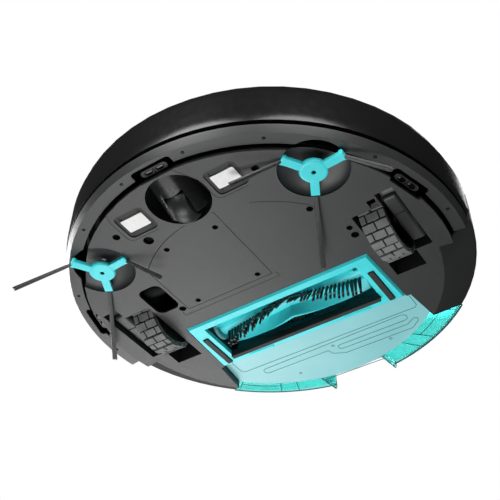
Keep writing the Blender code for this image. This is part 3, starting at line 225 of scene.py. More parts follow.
# Glossier black nylon on the caster's barrel, polished by its mould.
casterNylon = mouldedSurface("casterNylonSemiGloss", {
    "darkTone": "#1C1D1E", "lightTone": "#222324", "driftMm": 20, "grainMm": 3, "grainDepth": 0.01,
    "roughness": (0.26, 0.34), "IOR": 1.53})
# Turquoise ABS, coloured right through, with a soft moulded sheen.
turquoiseAbs = mouldedSurface("turquoiseAbs", {
    "darkTone": "#3FE6EE", "lightTone": "#4CF0F6", "driftMm": 25, "grainMm": 1.2, "grainDepth": 0.05,
    "roughness": (0.30, 0.42), "IOR": 1.53})
# Pale teal polycarbonate plate, frosted by its mould.
paleTealPlate = mouldedSurface("paleTealPolycarbonate", {
    "darkTone": "#8CD3D8", "lightTone": "#98DDE2", "driftMm": 45, "grainMm": 1.4, "grainDepth": 0.05,
    "roughness": (0.34, 0.44), "IOR": 1.58})
# Clear turquoise polycarbonate: light carries through the wall and glows at its edges.
clearTeal = mouldedSurface("clearTurquoisePolycarbonate", {
    "darkTone": "#7AF0EA", "lightTone": "#92FBF6", "driftMm": 40, "grainMm": 8.0, "grainDepth": 0.004,
    "roughness": (0.06, 0.10), "IOR": 1.15, "Transmission Weight": 0.80})
# Natural rubber tread, dusty and matte.
treadRubber = mouldedSurface("treadRubber", {
    "darkTone": "#6A6B6B", "lightTone": "#7E7F7F", "driftMm": 8, "grainMm": 0.9, "grainDepth": 0.2,
    "roughness": (0.62, 0.80), "IOR": 1.52})
# Soft black rubber for the strips, scraper and belt.
softRubber = mouldedSurface("softBlackRubber", {
    "darkTone": "#171818", "lightTone": "#1F2020", "driftMm": 10, "grainMm": 0.9, "grainDepth": 0.2,
    "roughness": (0.55, 0.70), "IOR": 1.52})
# Black nylon bristle: round strands with a thin line of light along each.
bristleNylon = mouldedSurface("bristleNylon", {
    "darkTone": "#1A1B1B", "lightTone": "#343535", "driftMm": 3, "grainMm": 0.8, "grainDepth": 0.1,
    "roughness": (0.30, 0.45), "IOR": 1.53})
# Bright satin coating on the charging contacts, close to white and without a mirror reflection.
contactCoating = mouldedSurface("contactCoating", {
    "darkTone": "#F2F2F1", "lightTone": "#FCFCFB", "driftMm": 6, "grainMm": 1.0, "grainDepth": 0.02,
    "roughness": (0.45, 0.55), "Metallic": 0.0})
# Zinc plated steel for springs, motor cans, the caster axle and the motor pulley.
platedSteel = mouldedSurface("zincPlatedSteel", {
    "darkTone": "#8E8F92", "lightTone": "#A9AAAD", "driftMm": 5, "grainMm": 0.8, "grainDepth": 0.1,
    "roughness": (0.25, 0.40), "Metallic": 1.0})
# Black oxide steel for the screws and the drive motors in their dark bays.
blackSteel = mouldedSurface("blackOxideSteel", {
    "darkTone": "#0E0F10", "lightTone": "#171819", "driftMm": 4, "grainMm": 0.8, "grainDepth": 0.05,
    "roughness": (0.45, 0.60), "Metallic": 1.0})
# Dark acrylic window that lets infrared through: near black and polished.
sensorAcrylic = mouldedSurface("sensorAcrylic", {
    "darkTone": "#0B0A0C", "lightTone": "#100F12", "driftMm": 20, "grainMm": 3.0, "grainDepth": 0.01,
    "roughness": (0.05, 0.10), "IOR": 1.49})
# Shrink sleeve on the cells.
cellSleeve = mouldedSurface("cellShrinkSleeve", {
    "darkTone": "#16365E", "lightTone": "#1D4374", "driftMm": 12, "grainMm": 1.5, "grainDepth": 0.1,
    "roughness": (0.25, 0.40), "IOR": 1.54})
# Glass-fibre board under a green solder mask.
boardMask = mouldedSurface("solderMaskBoard", {
    "darkTone": "#0D4A26", "lightTone": "#125C30", "driftMm": 9, "grainMm": 1.1, "grainDepth": 0.1,
    "roughness": (0.30, 0.45), "IOR": 1.55})
# Melt-blown filter felt.
filterFelt = mouldedSurface("filterFelt", {
    "darkTone": "#DAD9D2", "lightTone": "#ECEBE6", "driftMm": 6, "grainMm": 0.9, "grainDepth": 0.5,
    "roughness": (0.85, 0.95), "IOR": 1.5, "Sheen Weight": 0.3})
# Graphite lacquer under a thin satin clear coat, on the top cover and the impeller.
coverLacquer = mouldedSurface("coverLacquer", {
    "darkTone": "#3B3C3E", "lightTone": "#424345", "driftMm": 80, "grainMm": 2.0, "grainDepth": 0.03,
    "roughness": (0.22, 0.30), "IOR": 1.53, "Coat Weight": 0.3, "Coat Roughness": 0.12})
# Painted shade: an ink-dark line where two mouldings meet, the shade in the gap between them.
seamShade = mouldedSurface("seamShadow", {
    "darkTone": "#111212", "lightTone": "#171818", "driftMm": 10, "grainMm": 1.0, "grainDepth": 0.05,
    "roughness": (0.6, 0.7), "IOR": 1.5})
# Painted shade of the same kind on the tinted plate, a dark line in each engraved groove.
tealSeam = mouldedSurface("tealSeamShadow", {
    "darkTone": "#1E4A50", "lightTone": "#265A60", "driftMm": 10, "grainMm": 1.0, "grainDepth": 0.05,
    "roughness": (0.5, 0.6), "IOR": 1.5})
print("materials made")


# Housings and small parts, each with its finish and the width of its worn edge.
carriedOver = {
    "chassis": (chassisAbs, 0.0003), "battery_cover": (chassisAbs, 0.0003), "bumper_ring": (ringAbs, 0.0003),
    "bumper_shell": (bumperAbs, 0.0003), "top_shell": (bumperAbs, 0.0003),
    "top_cover": (coverLacquer, 0.0003),
    "power_button": (turquoiseAbs, 0.0003), "battery_pack": (cellSleeve, 0.0006),
    "main_board": (boardMask, 0.0),
    "fan_housing": (blackNylon, 0.0), "fan_impeller": (coverLacquer, 0.0),
    "cliff_sensor_front": (blackNylon, 0.0005), "cliff_sensor_left": (blackNylon, 0.0005),
    "cliff_sensor_right": (blackNylon, 0.0005), "charging_contact_left": (contactCoating, 0.0001),
    "charging_contact_right": (contactCoating, 0.0001),
    "caster_wheel": (blackNylon, 0.0004), "caster_axle": (platedSteel, 0.0002),
    "wheel_rim_left": (blackNylon, 0.0003), "wheel_rim_right": (blackNylon, 0.0003),
    "wheel_arm_left": (blackNylon, 0.0006), "wheel_arm_right": (blackNylon, 0.0006),
    "drive_motor_left": (blackSteel, 0.0004), "drive_motor_right": (blackSteel, 0.0004),
    "suspension_spring_left": (platedSteel, 0.0), "suspension_spring_right": (platedSteel, 0.0),
    "bumper_spring_left": (platedSteel, 0.0), "bumper_spring_right": (platedSteel, 0.0),
    "side_brush_screw_left": (blackSteel, 0.0002), "side_brush_screw_right": (blackSteel, 0.0002),
    "side_brush_motor_left": (platedSteel, 0.0004), "side_brush_motor_right": (platedSteel, 0.0004),
    "brush_roller": (turquoiseAbs, 0.0003), "brush_bearing": (paleTealPlate, 0.0002),
    "brush_pulley": (blackNylon, 0.0002), "motor_pulley": (platedSteel, 0.0002),
    "brush_motor": (platedSteel, 0.0004), "drive_belt": (softRubber, 0.0002),
    "brush_guard_frame": (turquoiseAbs, 0.0004), "guard_strip_left": (softRubber, 0.0003),
    "guard_strip_right": (softRubber, 0.0003), "guard_scraper": (softRubber, 0.0003),
    "tank_base": (paleTealPlate, 0.0003), "tank_shell": (clearTeal, 0.0003),
    "tank_latch": (turquoiseAbs, 0.0003), "tank_filter": (filterFelt, 0.0002),
}
bodyOf = {node: body for body, nodes in frame["record"]["behaviour"]["bodies"].items() for node in nodes}


def pieceName(nodeName):
    words = nodeName.split("_")
    return words[0] + "".join(word.capitalize() for word in words[1:]) + "Skin"


def carryOver(nodeName, material, edgeWidth):
    activate(frame["nodes"][nodeName])
    bpy.ops.object.duplicate()
    skin = bpy.context.active_object
    skin.parent = None
    skin.matrix_world = Matrix.Identity(4)
    for key in list(skin.keys()):
        del skin[key]
    bpy.ops.object.mode_set(mode="EDIT")
    bpy.ops.mesh.select_all(action="SELECT")
    bpy.ops.mesh.remove_doubles(threshold=0.000002)
    bpy.ops.mesh.dissolve_limited(angle_limit=math.radians(1.0))
    bpy.ops.object.mode_set(mode="OBJECT")
    if edgeWidth > 0:
        bevelEdges(skin, edgeWidth)
    return finishPiece(skin, pieceName(nodeName), bodyOf[nodeName], material, (nodeName,))


for nodeName, (material, edgeWidth) in carriedOver.items():
    carryOver(nodeName, material, edgeWidth)
print("housings and small parts carried over:", len(carriedOver))


# Drive wheel tyres with an offset brick tread.
tyre = {"radius": 0.031, "width": 0.021, "base": 0.0276, "bead": 0.0263, "rows": 26, "gap": 0.0014,
        "lowRow": 0.0009, "axleX": 0.005, "axleZ": 0.031, "offsetY": 0.107, "sideGap": 0.0003, "rim": 0.0006,
        "sink": 0.0006, "sideShare": 0.7, "brickEdge": 0.0005}


def treadTyre(side, sideName):
    centre = Vector((tyre["axleX"], side * tyre["offsetY"], tyre["axleZ"]))
    half = Vector((0, tyre["width"] / 2 - tyre["sideGap"], 0))
    carcass = addRod(tyre["base"], centre - half, centre + half, 66)
    pickFaces(carcass, lambda face: len(face.vertices) > 4)
    bpy.ops.mesh.inset(thickness=tyre["base"] - tyre["bead"])
    bpy.ops.mesh.bridge_edge_loops()
    bpy.ops.object.mode_set(mode="OBJECT")
    bevelEdges(carcass, tyre["rim"], 2, 50)
    arcLength = 2 * math.pi * tyre["radius"] / tyre["rows"] - tyre["gap"]
    depth = tyre["radius"] - tyre["base"] + tyre["sink"]
    middle = tyre["radius"] - depth / 2
    bricks = [carcass]
    for share in (0.5, 0.25):
        # Two bricks fill one row, and a brick between two short ones fills the next.
        across = tyre["width"] * share - tyre["gap"] * tyre["sideShare"]
        brick = addBox((arcLength, across, depth), (0, 0, 0))
        bevelEdges(brick, tyre["brickEdge"], 2)
        offsets = {0.5: ((0, -0.25), (0, 0.25), (1, 0.0)), 0.25: ((1, -0.375), (1, 0.375))}[share]
        for parity, offset in offsets:
            for row in range(parity, tyre["rows"], 2):
                turn = Matrix.Rotation(2 * math.pi * row / tyre["rows"], 4, "Y")
                out = Matrix.Translation((0, offset * tyre["width"], middle - tyre["lowRow"] * parity))
                bricks.append(placedCopy(brick, Matrix.Translation(centre) @ turn @ out))
        bpy.data.objects.remove(brick)
    finishPiece(joinPieces(bricks), "tyreTread" + sideName.capitalize(), sideName + "_drive_wheel",
                treadRubber, ("tyre_" + sideName,))


for side, sideName in ((1, "left"), (-1, "right")):
    treadTyre(side, sideName)
print("tyres made")


# Side brush hubs: a crowned disc with three hooked arms.
brushHub = {"x": 0.094, "y": 0.0955, "radius": 0.0104, "low": 0.0090, "rim": 0.0138, "armWidth": 0.0064,
            "armReach": 0.0250, "armLow": 0.0094, "armThick": 0.0034, "screwHole": 0.0017,
            "holeDepth": 0.0022, "angles": (-33, 87, 207), "dimple": 0.0022, "crown": 0.0018,
            "armRoot": 0.55, "armTip": 0.86,
            "armEdge": 0.0008, "hookLength": 0.0030, "hookWiden": 1.12, "hookThicken": 1.35, "hookRise": 0.62,
            "hookEdge": 0.0006}


def hookedHub(side, sideName):
    centre = Vector((brushHub["x"], side * brushHub["y"], 0))
    low, rim = brushHub["low"], brushHub["rim"]
    hub = addRod(brushHub["radius"], centre + Vector((0, 0, low)), centre + Vector((0, 0, rim)), 48)
    pickFaces(hub, lambda face: face.normal.z < -0.9)
    bpy.ops.mesh.inset(thickness=brushHub["dimple"])
    bpy.ops.object.mode_set(mode="OBJECT")
    bevelEdges(hub, brushHub["crown"], 4, 50)
    for degrees in brushHub["angles"]:
        turn = math.radians(degrees)
        outward = Vector((math.cos(turn), math.sin(turn), 0))
        reach = brushHub["armReach"]
        inner = brushHub["radius"] * brushHub["armRoot"]
        thick = brushHub["armThick"]
        slabPlace = centre + outward * (reach + inner) / 2 + Vector((0, 0, brushHub["armLow"] + thick / 2))
        slab = addBox((reach - inner, brushHub["armWidth"], thick), slabPlace, (0, 0, turn))
        pickFaces(slab, lambda face: face.normal.dot(outward) > 0.9)
        bpy.ops.mesh.extrude_region_move(TRANSFORM_OT_translate={"value": outward * 0.0002})
        bpy.ops.transform.resize(value=(brushHub["armTip"], brushHub["armTip"], 1.0))
        bpy.ops.object.mode_set(mode="OBJECT")
        hookUp = Vector((0, 0, brushHub["armLow"] + thick * brushHub["hookRise"]))
        hookPlace = centre + outward * (reach - brushHub["hookLength"] / 2) + hookUp
        hookSize = (brushHub["hookLength"], brushHub["armWidth"] * brushHub["hookWiden"],
                    thick * brushHub["hookThicken"])
        hook = addBox(hookSize, hookPlace, (0, 0, turn))
        bevelEdges(slab, brushHub["armEdge"], 2, 50)
        bevelEdges(hook, brushHub["hookEdge"], 2, 50)
        combine(hub, slab, "UNION")
        combine(hub, hook, "UNION")
    holeStart = centre + Vector((0, 0, low - 0.001))
    holeEnd = centre + Vector((0, 0, low + brushHub["holeDepth"]))
    combine(hub, addRod(brushHub["screwHole"], holeStart, holeEnd, 24), "DIFFERENCE")
    finishPiece(hub, "brushHub" + sideName.capitalize(), sideName + "_side_brush", turquoiseAbs,
                ("side_brush_hub_" + sideName,), 50)


for side, sideName in ((1, "left"), (-1, "right")):
    hookedHub(side, sideName)
print("side brush hubs made")


# Caster fork: a leaning barrel inside the round well, with its wheel in the lower end.
casterFork = {"x": 0.122, "wheelX": 0.115, "wheelZ": 0.0145, "barrel": 0.0180, "drum": 0.0228, "roof": 0.0390,
              "lean": 20, "wheelRoom": 0.0151, "wheelHalf": 0.0085, "mouth": 0.0130, "low": 0.0050,
              "front": 0.011, "back": 0.045, "edge": 0.0022, "capLow": 0.0330,
              "mouthFront": 0.020, "mouthBack": 0.006}


def leaningFork():
    lean = math.radians(casterFork["lean"])
    along = Vector((math.cos(lean), 0, math.sin(lean)))
    pivot = Vector((casterFork["wheelX"], 0, casterFork["low"] + casterFork["barrel"]))
    barrelEnds = (pivot - along * casterFork["front"], pivot + along * casterFork["back"])
    barrel = addRod(casterFork["barrel"], *barrelEnds, 64)
    bevelEdges(barrel, casterFork["edge"], 4, 50)
    middle = Vector((casterFork["x"], 0, 0))
    drum = addRod(casterFork["drum"], middle, middle + Vector((0, 0, casterFork["roof"])), 64)
    combine(barrel, drum, "INTERSECT")
    capEnds = [middle + Vector((0, 0, z)) for z in (casterFork["capLow"], casterFork["roof"])]
    combine(barrel, addRod(casterFork["drum"], *capEnds, 64), "UNION")
    mouthEnds = (pivot - along * casterFork["mouthFront"], pivot + along * casterFork["mouthBack"])
    combine(barrel, addRod(casterFork["mouth"], *mouthEnds, 48), "DIFFERENCE")
    wheel = Vector((casterFork["wheelX"], 0, casterFork["wheelZ"]))
    half = Vector((0, casterFork["wheelHalf"], 0))
    combine(barrel, addRod(casterFork["wheelRoom"], wheel - half, wheel + half, 48), "DIFFERENCE")
    finishPiece(barrel, "casterBarrel", "caster_swivel", casterNylon,
                ("caster_fork",), 40)


leaningFork()
print("caster made")


# Side brush bristles, a bundle of strands on each arm.
sideTuft = {"strands": 19, "turnPerStrand": 2.39996, "tipStep": 0.0007, "flatten": 0.5,
            "strandRadius": 0.00050, "rootSpread": 0.0012, "tipSpread": 0.0020, "tipZ": 0.0021,
            "rootZ": 0.0104, "hubX": 0.094, "hubY": 0.0955, "reach": 0.0235, "armAngles": (-33, 87, 207)}
tuftTips = {"left": ((0.0275, -0.0516), (-0.0215, 0.0486), (-0.0817, -0.0402)),
            "right": ((0.0293, -0.0647), (-0.0238, 0.0410), (-0.0856, -0.0586))}


def strandBetween(start, end, radius, sides=5, tipShare=0.7):
    middle = (start + end) / 2
    along = end - start
    turn = along.to_track_quat("Z", "Y").to_euler()
    bpy.ops.mesh.primitive_cone_add(vertices=sides, radius1=radius, radius2=radius * tipShare,
                                    depth=along.length, location=middle, rotation=turn)
    return bpy.context.active_object


def sideBrushTuft(side, sideName, index):
    angle = math.radians(sideTuft["armAngles"][index])
    hub = Vector((sideTuft["hubX"], side * sideTuft["hubY"], 0))
    root = hub + Vector((math.cos(angle), math.sin(angle), 0)) * sideTuft["reach"]
    root.z = sideTuft["rootZ"]
    tip = hub + Vector((*tuftTips[sideName][index], sideTuft["tipZ"]))
    along = (tip - root).normalized()
    across = Vector((-along.y, along.x, 0)).normalized()
    upward = along.cross(across)
    strands = []
    for number in range(sideTuft["strands"]):
        turn = number * sideTuft["turnPerStrand"]
        share = math.sqrt((number + 0.5) / sideTuft["strands"])
        flat = across * math.cos(turn) + upward * math.sin(turn) * sideTuft["flatten"]
        start = root + flat * share * sideTuft["rootSpread"]
        end = tip + flat * share * sideTuft["tipSpread"] - along * (number % 4) * sideTuft["tipStep"]
        strands.append(strandBetween(start, end, sideTuft["strandRadius"]))
    tuft = joinPieces(strands)
    node = "bristle_tuft_" + sideName + "_" + str(index + 1)
    finishPiece(tuft, "sideBristle" + sideName.capitalize() + str(index + 1), sideName + "_side_brush",
                bristleNylon, (node,))


for side, sideName in ((1, "left"), (-1, "right")):
    for index in range(3):
        sideBrushTuft(side, sideName, index)
print("side brush bristles made")


# Main brush bristles, in rows that sweep towards the middle.
rollerTuft = {"rows": 3, "perRow": 38, "inner": 0.0088, "outer": 0.0218, "radius": 0.00115, "half": 0.0650,
              "sweep": 62, "start": 260, "axisX": -0.031, "axisZ": 0.029, "lean": 10}


def rollerBristles():
    middle = Vector((rollerTuft["axisX"], 0, rollerTuft["axisZ"]))
    bunches = []
    for row in range(rollerTuft["rows"]):
        for lane in (-1, 1):
            for number in range(rollerTuft["perRow"]):
                y = rollerTuft["half"] * (2 * (number + 0.5 + lane * 0.25) / rollerTuft["perRow"] - 1)
                bend = rollerTuft["sweep"] * (1 - abs(y) / rollerTuft["half"])
                angle = math.radians(rollerTuft["start"] + 120 * row + bend + lane * 4.5)
                tipAngle = angle + math.radians(lane * 2 + 3 * math.sin(number * 2.1 + row))
                root = Vector((math.cos(angle), 0, math.sin(angle))) * rollerTuft["inner"]
                tip = Vector((math.cos(tipAngle), 0, math.sin(tipAngle))) * rollerTuft["outer"]
                root.y = y
                tip.y = y + 0.0006 * math.sin(number * 1.7)
                bunches.append(strandBetween(middle + root, middle + tip, rollerTuft["radius"], 6, 0.85))
    brush = joinPieces(bunches)
    finishPiece(brush, "rollerBristles", "main_brush", bristleNylon, ("brush_bristles",))


rollerBristles()
print("main brush bristles made")


# Screw heads in the plate, the battery cover and the bumper's foot.
# Each spot is x, y and the radius of its head.
screwHead = {"height": 0.0011, "edgeShare": 0.22, "slotShare": 0.62, "slotWidth": 0.26, "slotDepth": 0.0006}
plateScrews = {"z": 0.0141, "spots": [
    (0.1167, 0.0625, 0.0024), (0.1167, -0.0625, 0.0024), (0.1008, -0.0443, 0.0033),
    (0.0631, 0.0739, 0.0021), (0.0303, 0.0885, 0.0019), (0.0217, 0.0885, 0.0025), (0.0224, -0.0713, 0.0024)]}
coverScrews = {"z": 0.0138, "spots": [
    (0.0853, -0.0391, 0.0018), (0.0851, 0.0058, 0.0018), (0.0243, 0.0033, 0.0018), (0.0241, -0.0543, 0.0018)]}
ringScrews = {"z": 0.0153, "radius": 0.1562, "size": 0.0014, "angles": (-88, -60, -31, -10, 10, 31, 60, 88)}


def crossHead(x, y, z, radius):
    # A pan head seen from below, with a cross recess.
    bpy.ops.mesh.primitive_cylinder_add(vertices=24, radius=radius, depth=screwHead["height"],
                                        location=(x, y, z + screwHead["height"] / 2))
    head = bpy.context.active_object
    bevelEdges(head, radius * screwHead["edgeShare"], 2, 50)
    length = radius * 2 * screwHead["slotShare"]
    width = radius * screwHead["slotWidth"]
    for size in ((length, width), (width, length)):
        combine(head, addBox((*size, screwHead["slotDepth"] * 2), (x, y, z)), "DIFFERENCE")
    return head


def screwSet(name, body, spots, z, material):
    heads = [crossHead(x, y, z, radius) for x, y, radius in spots]
    finishPiece(joinPieces(heads), name, body, material)


ringSpots = []
for degrees in ringScrews["angles"]:
    turn = math.radians(degrees)
    reach = ringScrews["radius"]
    ringSpots.append((reach * math.cos(turn), reach * math.sin(turn), ringScrews["size"]))
screwSet("plateScrews", "chassis_body", plateScrews["spots"], plateScrews["z"], blackSteel)
screwSet("coverScrews", "chassis_body", coverScrews["spots"], coverScrews["z"], blackSteel)
screwSet("ringScrews", "bumper", ringSpots, ringScrews["z"], blackSteel)
print("screws made")


# Rounded bezels round the charging contacts.
bezel = {"x": 0.1208, "y": 0.0404, "length": 0.0236, "width": 0.0256, "corner": 0.0042, "border": 0.0046,
         "z": 0.01285, "thick": 0.0004}


def contactBezel(side, sideName):
    bpy.ops.mesh.primitive_plane_add(size=1, location=(bezel["x"], side * bezel["y"], bezel["z"]))
    plate = bpy.context.active_object
    plate.scale = (bezel["length"], bezel["width"], 1)
    applyPlace(plate)
    bpy.ops.object.mode_set(mode="EDIT")
    bpy.ops.mesh.select_all(action="SELECT")
    bpy.ops.mesh.bevel(offset=bezel["corner"], segments=6, affect="VERTICES")
    bpy.ops.mesh.select_all(action="SELECT")
    bpy.ops.mesh.inset(thickness=bezel["border"])
    bpy.ops.mesh.delete(type="FACE")
    bpy.ops.object.mode_set(mode="OBJECT")
    wall = plate.modifiers.new("Thickness", "SOLIDIFY")
    wall.thickness = bezel["thick"]
    wall.offset = 1.0
    applyModifiers(plate)
    bevelEdges(plate, 0.0002, 2)
    finishPiece(plate, "contactBezel" + sideName.capitalize(), "chassis_body", bezelAbs)


for side, sideName in ((1, "left"), (-1, "right")):
    contactBezel(side, sideName)
print("contact bezels made")


# Seams of the plate and lines engraved in the tank's plate, drawn as dark lines of painted shade.
def wireAlong(points, thickness):
    # A fine line made from a row of points, given a round section and turned back into a mesh.
    bpy.ops.mesh.primitive_plane_add(size=0.001, location=(0, 0, 0))
    line = bpy.context.active_object
    bpy.ops.object.mode_set(mode="EDIT")
    bpy.ops.mesh.select_mode(type="VERT")
    bpy.ops.mesh.select_all(action="SELECT")
    bpy.ops.mesh.merge(type="CENTER")
    spot = Vector(points[0])
    bpy.ops.transform.translate(value=spot)
    for point in points[1:]:
        bpy.ops.mesh.extrude_region_move(TRANSFORM_OT_translate={"value": Vector(point) - spot})
        spot = Vector(point)
    bpy.ops.object.mode_set(mode="OBJECT")
    bpy.ops.object.convert(target="CURVE")
    line = bpy.context.active_object
    line.data.bevel_depth = thickness / 2
    line.data.bevel_resolution = 1
    line.data.use_fill_caps = True
    bpy.ops.object.convert(target="MESH")
    return bpy.context.active_object


def atHeight(points, z):
    return [(x, y, z) for x, y in points]


def arcPoints(centre, radius, start, end, steps):
    points = []
    for step in range(steps + 1):
        turn = math.radians(start + (end - start) * step / steps)
        points.append((centre[0] + radius * math.cos(turn), centre[1] + radius * math.sin(turn)))
    return points


seams = {"z": 0.01200, "thickness": 0.0004}
contactLines = [
    [(0.1415, -0.0440), (0.1385, -0.0540), (0.1320, -0.0566), (0.1120, -0.0566)]
    + arcPoints((0.1120, -0.0512), 0.0054, 270, 180, 6) + [(0.1066, -0.0300)],
    [(0.1480, 0.0130), (0.1300, 0.0230), (0.1120, 0.0240)]
    + arcPoints((0.1120, 0.0294), 0.0054, 270, 180, 6) + [(0.1066, 0.0500)],
]
plateLines = [
    [(0.0195, 0.0165), (0.0140, 0.0180), (0.0140, -0.0740), (0.0195, -0.0740)],
    arcPoints((0, 0), 0.1008, 24, 52, 10),
]
seamLines = contactLines + plateLines
seamWires = [wireAlong(atHeight(points, seams["z"]), seams["thickness"]) for points in seamLines]
finishPiece(joinPieces(seamWires), "plateSeams", "chassis_body", seamShade)

tankLines = {"z": 0.01902, "thickness": 0.00055, "dot": 0.0011, "dotLine": 0.00025}
channel = [(-0.0934, -0.0655), (-0.0904, 0.0705)]
channel += arcPoints((-0.0944, 0.0705), 0.0040, 0, 180, 8)[1:]
channel += [(-0.0984, 0.0085)]
channel += arcPoints((-0.1014, 0.0085), 0.0030, 0, -180, 6)[1:]
channel += [(-0.1044, 0.0705), (-0.0994, 0.0785), (-0.1010, 0.0815), (-0.1050, 0.0800), (-0.1110, 0.0720)]
channel += [(-0.1114, 0.0075), (-0.1060, -0.0030), (-0.1004, -0.0045), (-0.1004, -0.0655)]
channel += arcPoints((-0.0969, -0.0655), 0.0035, 180, 360, 8)[1:]
frameLine = [(-0.0655, 0.0880), (-0.0850, 0.0880), (-0.0874, 0.0856),
             (-0.0874, -0.0836), (-0.0850, -0.0860), (-0.0655, -0.0860)]
engravedLines = (channel, frameLine)
engraved = [wireAlong(atHeight(points, tankLines["z"]), tankLines["thickness"]) for points in engravedLines]
for x, y in ((-0.0964, 0.0025), (-0.1164, -0.0425), (-0.1144, 0.0495)):
    bpy.ops.mesh.primitive_torus_add(location=(x, y, tankLines["z"]), major_radius=tankLines["dot"],
                                     minor_radius=tankLines["dotLine"], major_segments=20, minor_segments=6)
    engraved.append(bpy.context.active_object)
finishPiece(joinPieces(engraved), "tankPlateLines", "dust_tank", tealSeam)
print("seams made")


# Tank edges: painted shade, dark lines on the rim and the moulded ribs where the clear wall turns edge-on.
tankEdges = {"rimRadius": 0.1646, "rimZ": 0.0284, "rimThick": 0.0016, "lip": 0.1372, "lipZ": 0.0206,
             "fine": 0.0006, "corner": 135.3, "grip": 169.5, "ledge": 0.1465, "ledgeZ": 0.0226,
             "ledgeEnd": 151.0, "ledgeInset": 1.5, "lastRib": 157, "finY": 0.0309}


def polar(radius, degrees, z):
    turn = math.radians(degrees)
    return (radius * math.cos(turn), radius * math.sin(turn), z)


def arcAt(radius, z, start, end, steps=14):
    return [polar(radius, start + (end - start) * step / steps, z) for step in range(steps + 1)]


edgeWires = []
for side in (1, -1):
    corner, grip, ledgeEnd = (side * tankEdges[key] for key in ("corner", "grip", "ledgeEnd"))
    rim = arcAt(tankEdges["rimRadius"], tankEdges["rimZ"], corner, grip)
    edgeWires.append(wireAlong(rim, tankEdges["rimThick"]))
    edgeWires.append(wireAlong(arcAt(tankEdges["lip"], tankEdges["lipZ"], corner, grip), tankEdges["fine"]))
    ledgeStart = corner + side * tankEdges["ledgeInset"]
    ledge = arcAt(tankEdges["ledge"], tankEdges["ledgeZ"], ledgeStart, ledgeEnd, 8)
    edgeWires.append(wireAlong(ledge, tankEdges["fine"]))
    for degrees in (ledgeStart, ledgeEnd, side * tankEdges["lastRib"]):
        spoke = [polar(tankEdges["lip"], degrees, tankEdges["lipZ"]), polar(0.1610, degrees, 0.0262)]
        edgeWires.append(wireAlong(spoke, tankEdges["fine"]))
    y = side * tankEdges["finY"]
    fin = [(-0.1350, y, 0.0200), (-0.1615, y, 0.0238), (-0.1627, y, 0.0266), (-0.1620, y, 0.0330)]
    edgeWires.append(wireAlong(fin, tankEdges["fine"] * 1.6))
    gripLine = [(-0.1390, 0, 0.0203), (-0.1390, y, 0.0203), (-0.1580, y, 0.0270)]
    edgeWires.append(wireAlong(gripLine, tankEdges["fine"]))
finishPiece(joinPieces(edgeWires), "tankEdgeLines", "dust_tank", tealSeam)
print("tank edges made")


# Side brush bowls: smooth linings of the dished wells.
bowl = {"x": 0.094, "y": 0.0955, "radius": 0.0262, "depth": 0.0086, "rimZ": 0.01195, "wall": 0.0005,
        "hole": 0.0062, "limit": 0.1478}


def bowlLining(side, sideName):
    centre = (bowl["x"], side * bowl["y"], bowl["rimZ"])
    bpy.ops.mesh.primitive_uv_sphere_add(segments=64, ring_count=32, radius=1, location=centre)
    lining = bpy.context.active_object
    lining.scale = (bowl["radius"], bowl["radius"], bowl["depth"])
    applyPlace(lining)
    flat = Vector((1, 1, 0))
    middle = Vector(centre) * flat
    pickFaces(lining, lambda face: face.center.z < bowl["rimZ"]
              or (face.center * flat - middle).length < bowl["hole"])
    bpy.ops.mesh.delete(type="FACE")
    bpy.ops.object.mode_set(mode="OBJECT")
    wall = lining.modifiers.new("Thickness", "SOLIDIFY")
    wall.thickness = bowl["wall"]
    applyModifiers(lining)
    combine(lining, addRod(bowl["limit"], (0, 0, 0.005), (0, 0, 0.030), 96), "INTERSECT")
    finishPiece(lining, "brushBowl" + sideName.capitalize(), "chassis_body", chassisAbs,
                (), 50)


# Wheel gearbox covers on the sprung arms.
gearbox = {"rear": -0.0125, "front": 0.0400, "inner": 0.1199, "outer": 0.1316, "low": 0.0152, "high": 0.0350,
           "noseRadius": 0.0085, "noseZ": 0.0270, "noseEdge": 0.0012, "edge": 0.0028, "grooveX": 0.0215}


def gearboxCover(side, sideName):
    middleY = side * (gearbox["inner"] + gearbox["outer"]) / 2
    width = gearbox["outer"] - gearbox["inner"]
    size = (gearbox["front"] - gearbox["rear"], width, gearbox["high"] - gearbox["low"])
    middleX = (gearbox["front"] + gearbox["rear"]) / 2
    cover = addBox(size, (middleX, middleY, (gearbox["high"] + gearbox["low"]) / 2))
    bevelEdges(cover, gearbox["edge"], 4, 50)
    ends = [(gearbox["front"], side * y, gearbox["noseZ"]) for y in (gearbox["inner"], gearbox["outer"])]
    nose = addRod(gearbox["noseRadius"], *ends, 40)
    bevelEdges(nose, gearbox["noseEdge"], 2, 50)
    combine(cover, nose, "UNION")
    groove = addBox((0.0016, width * 1.02, 0.0010), (gearbox["grooveX"], middleY, gearbox["low"]))
    combine(cover, groove, "DIFFERENCE")
    finishPiece(cover, "gearboxCover" + sideName.capitalize(), sideName + "_suspension", coverNylon,
                (), 40)


for side, sideName in ((1, "left"), (-1, "right")):
    bowlLining(side, sideName)
    gearboxCover(side, sideName)
print("bowls and gearbox covers made")


# Cliff sensor windows: two lenses and a bar in each.
sensorSpots = {"front": (0.0, 0.1509), "left": (73.0, 0.1486), "right": (-73.0, 0.1486)}
sensorLens = {"length": 0.0072, "width": 0.0040, "gap": 0.0049, "z": 0.0170, "depth": 0.0010,
              "bar": (0.0042, 0.0006, 0.0005), "barEdge": 0.0001}


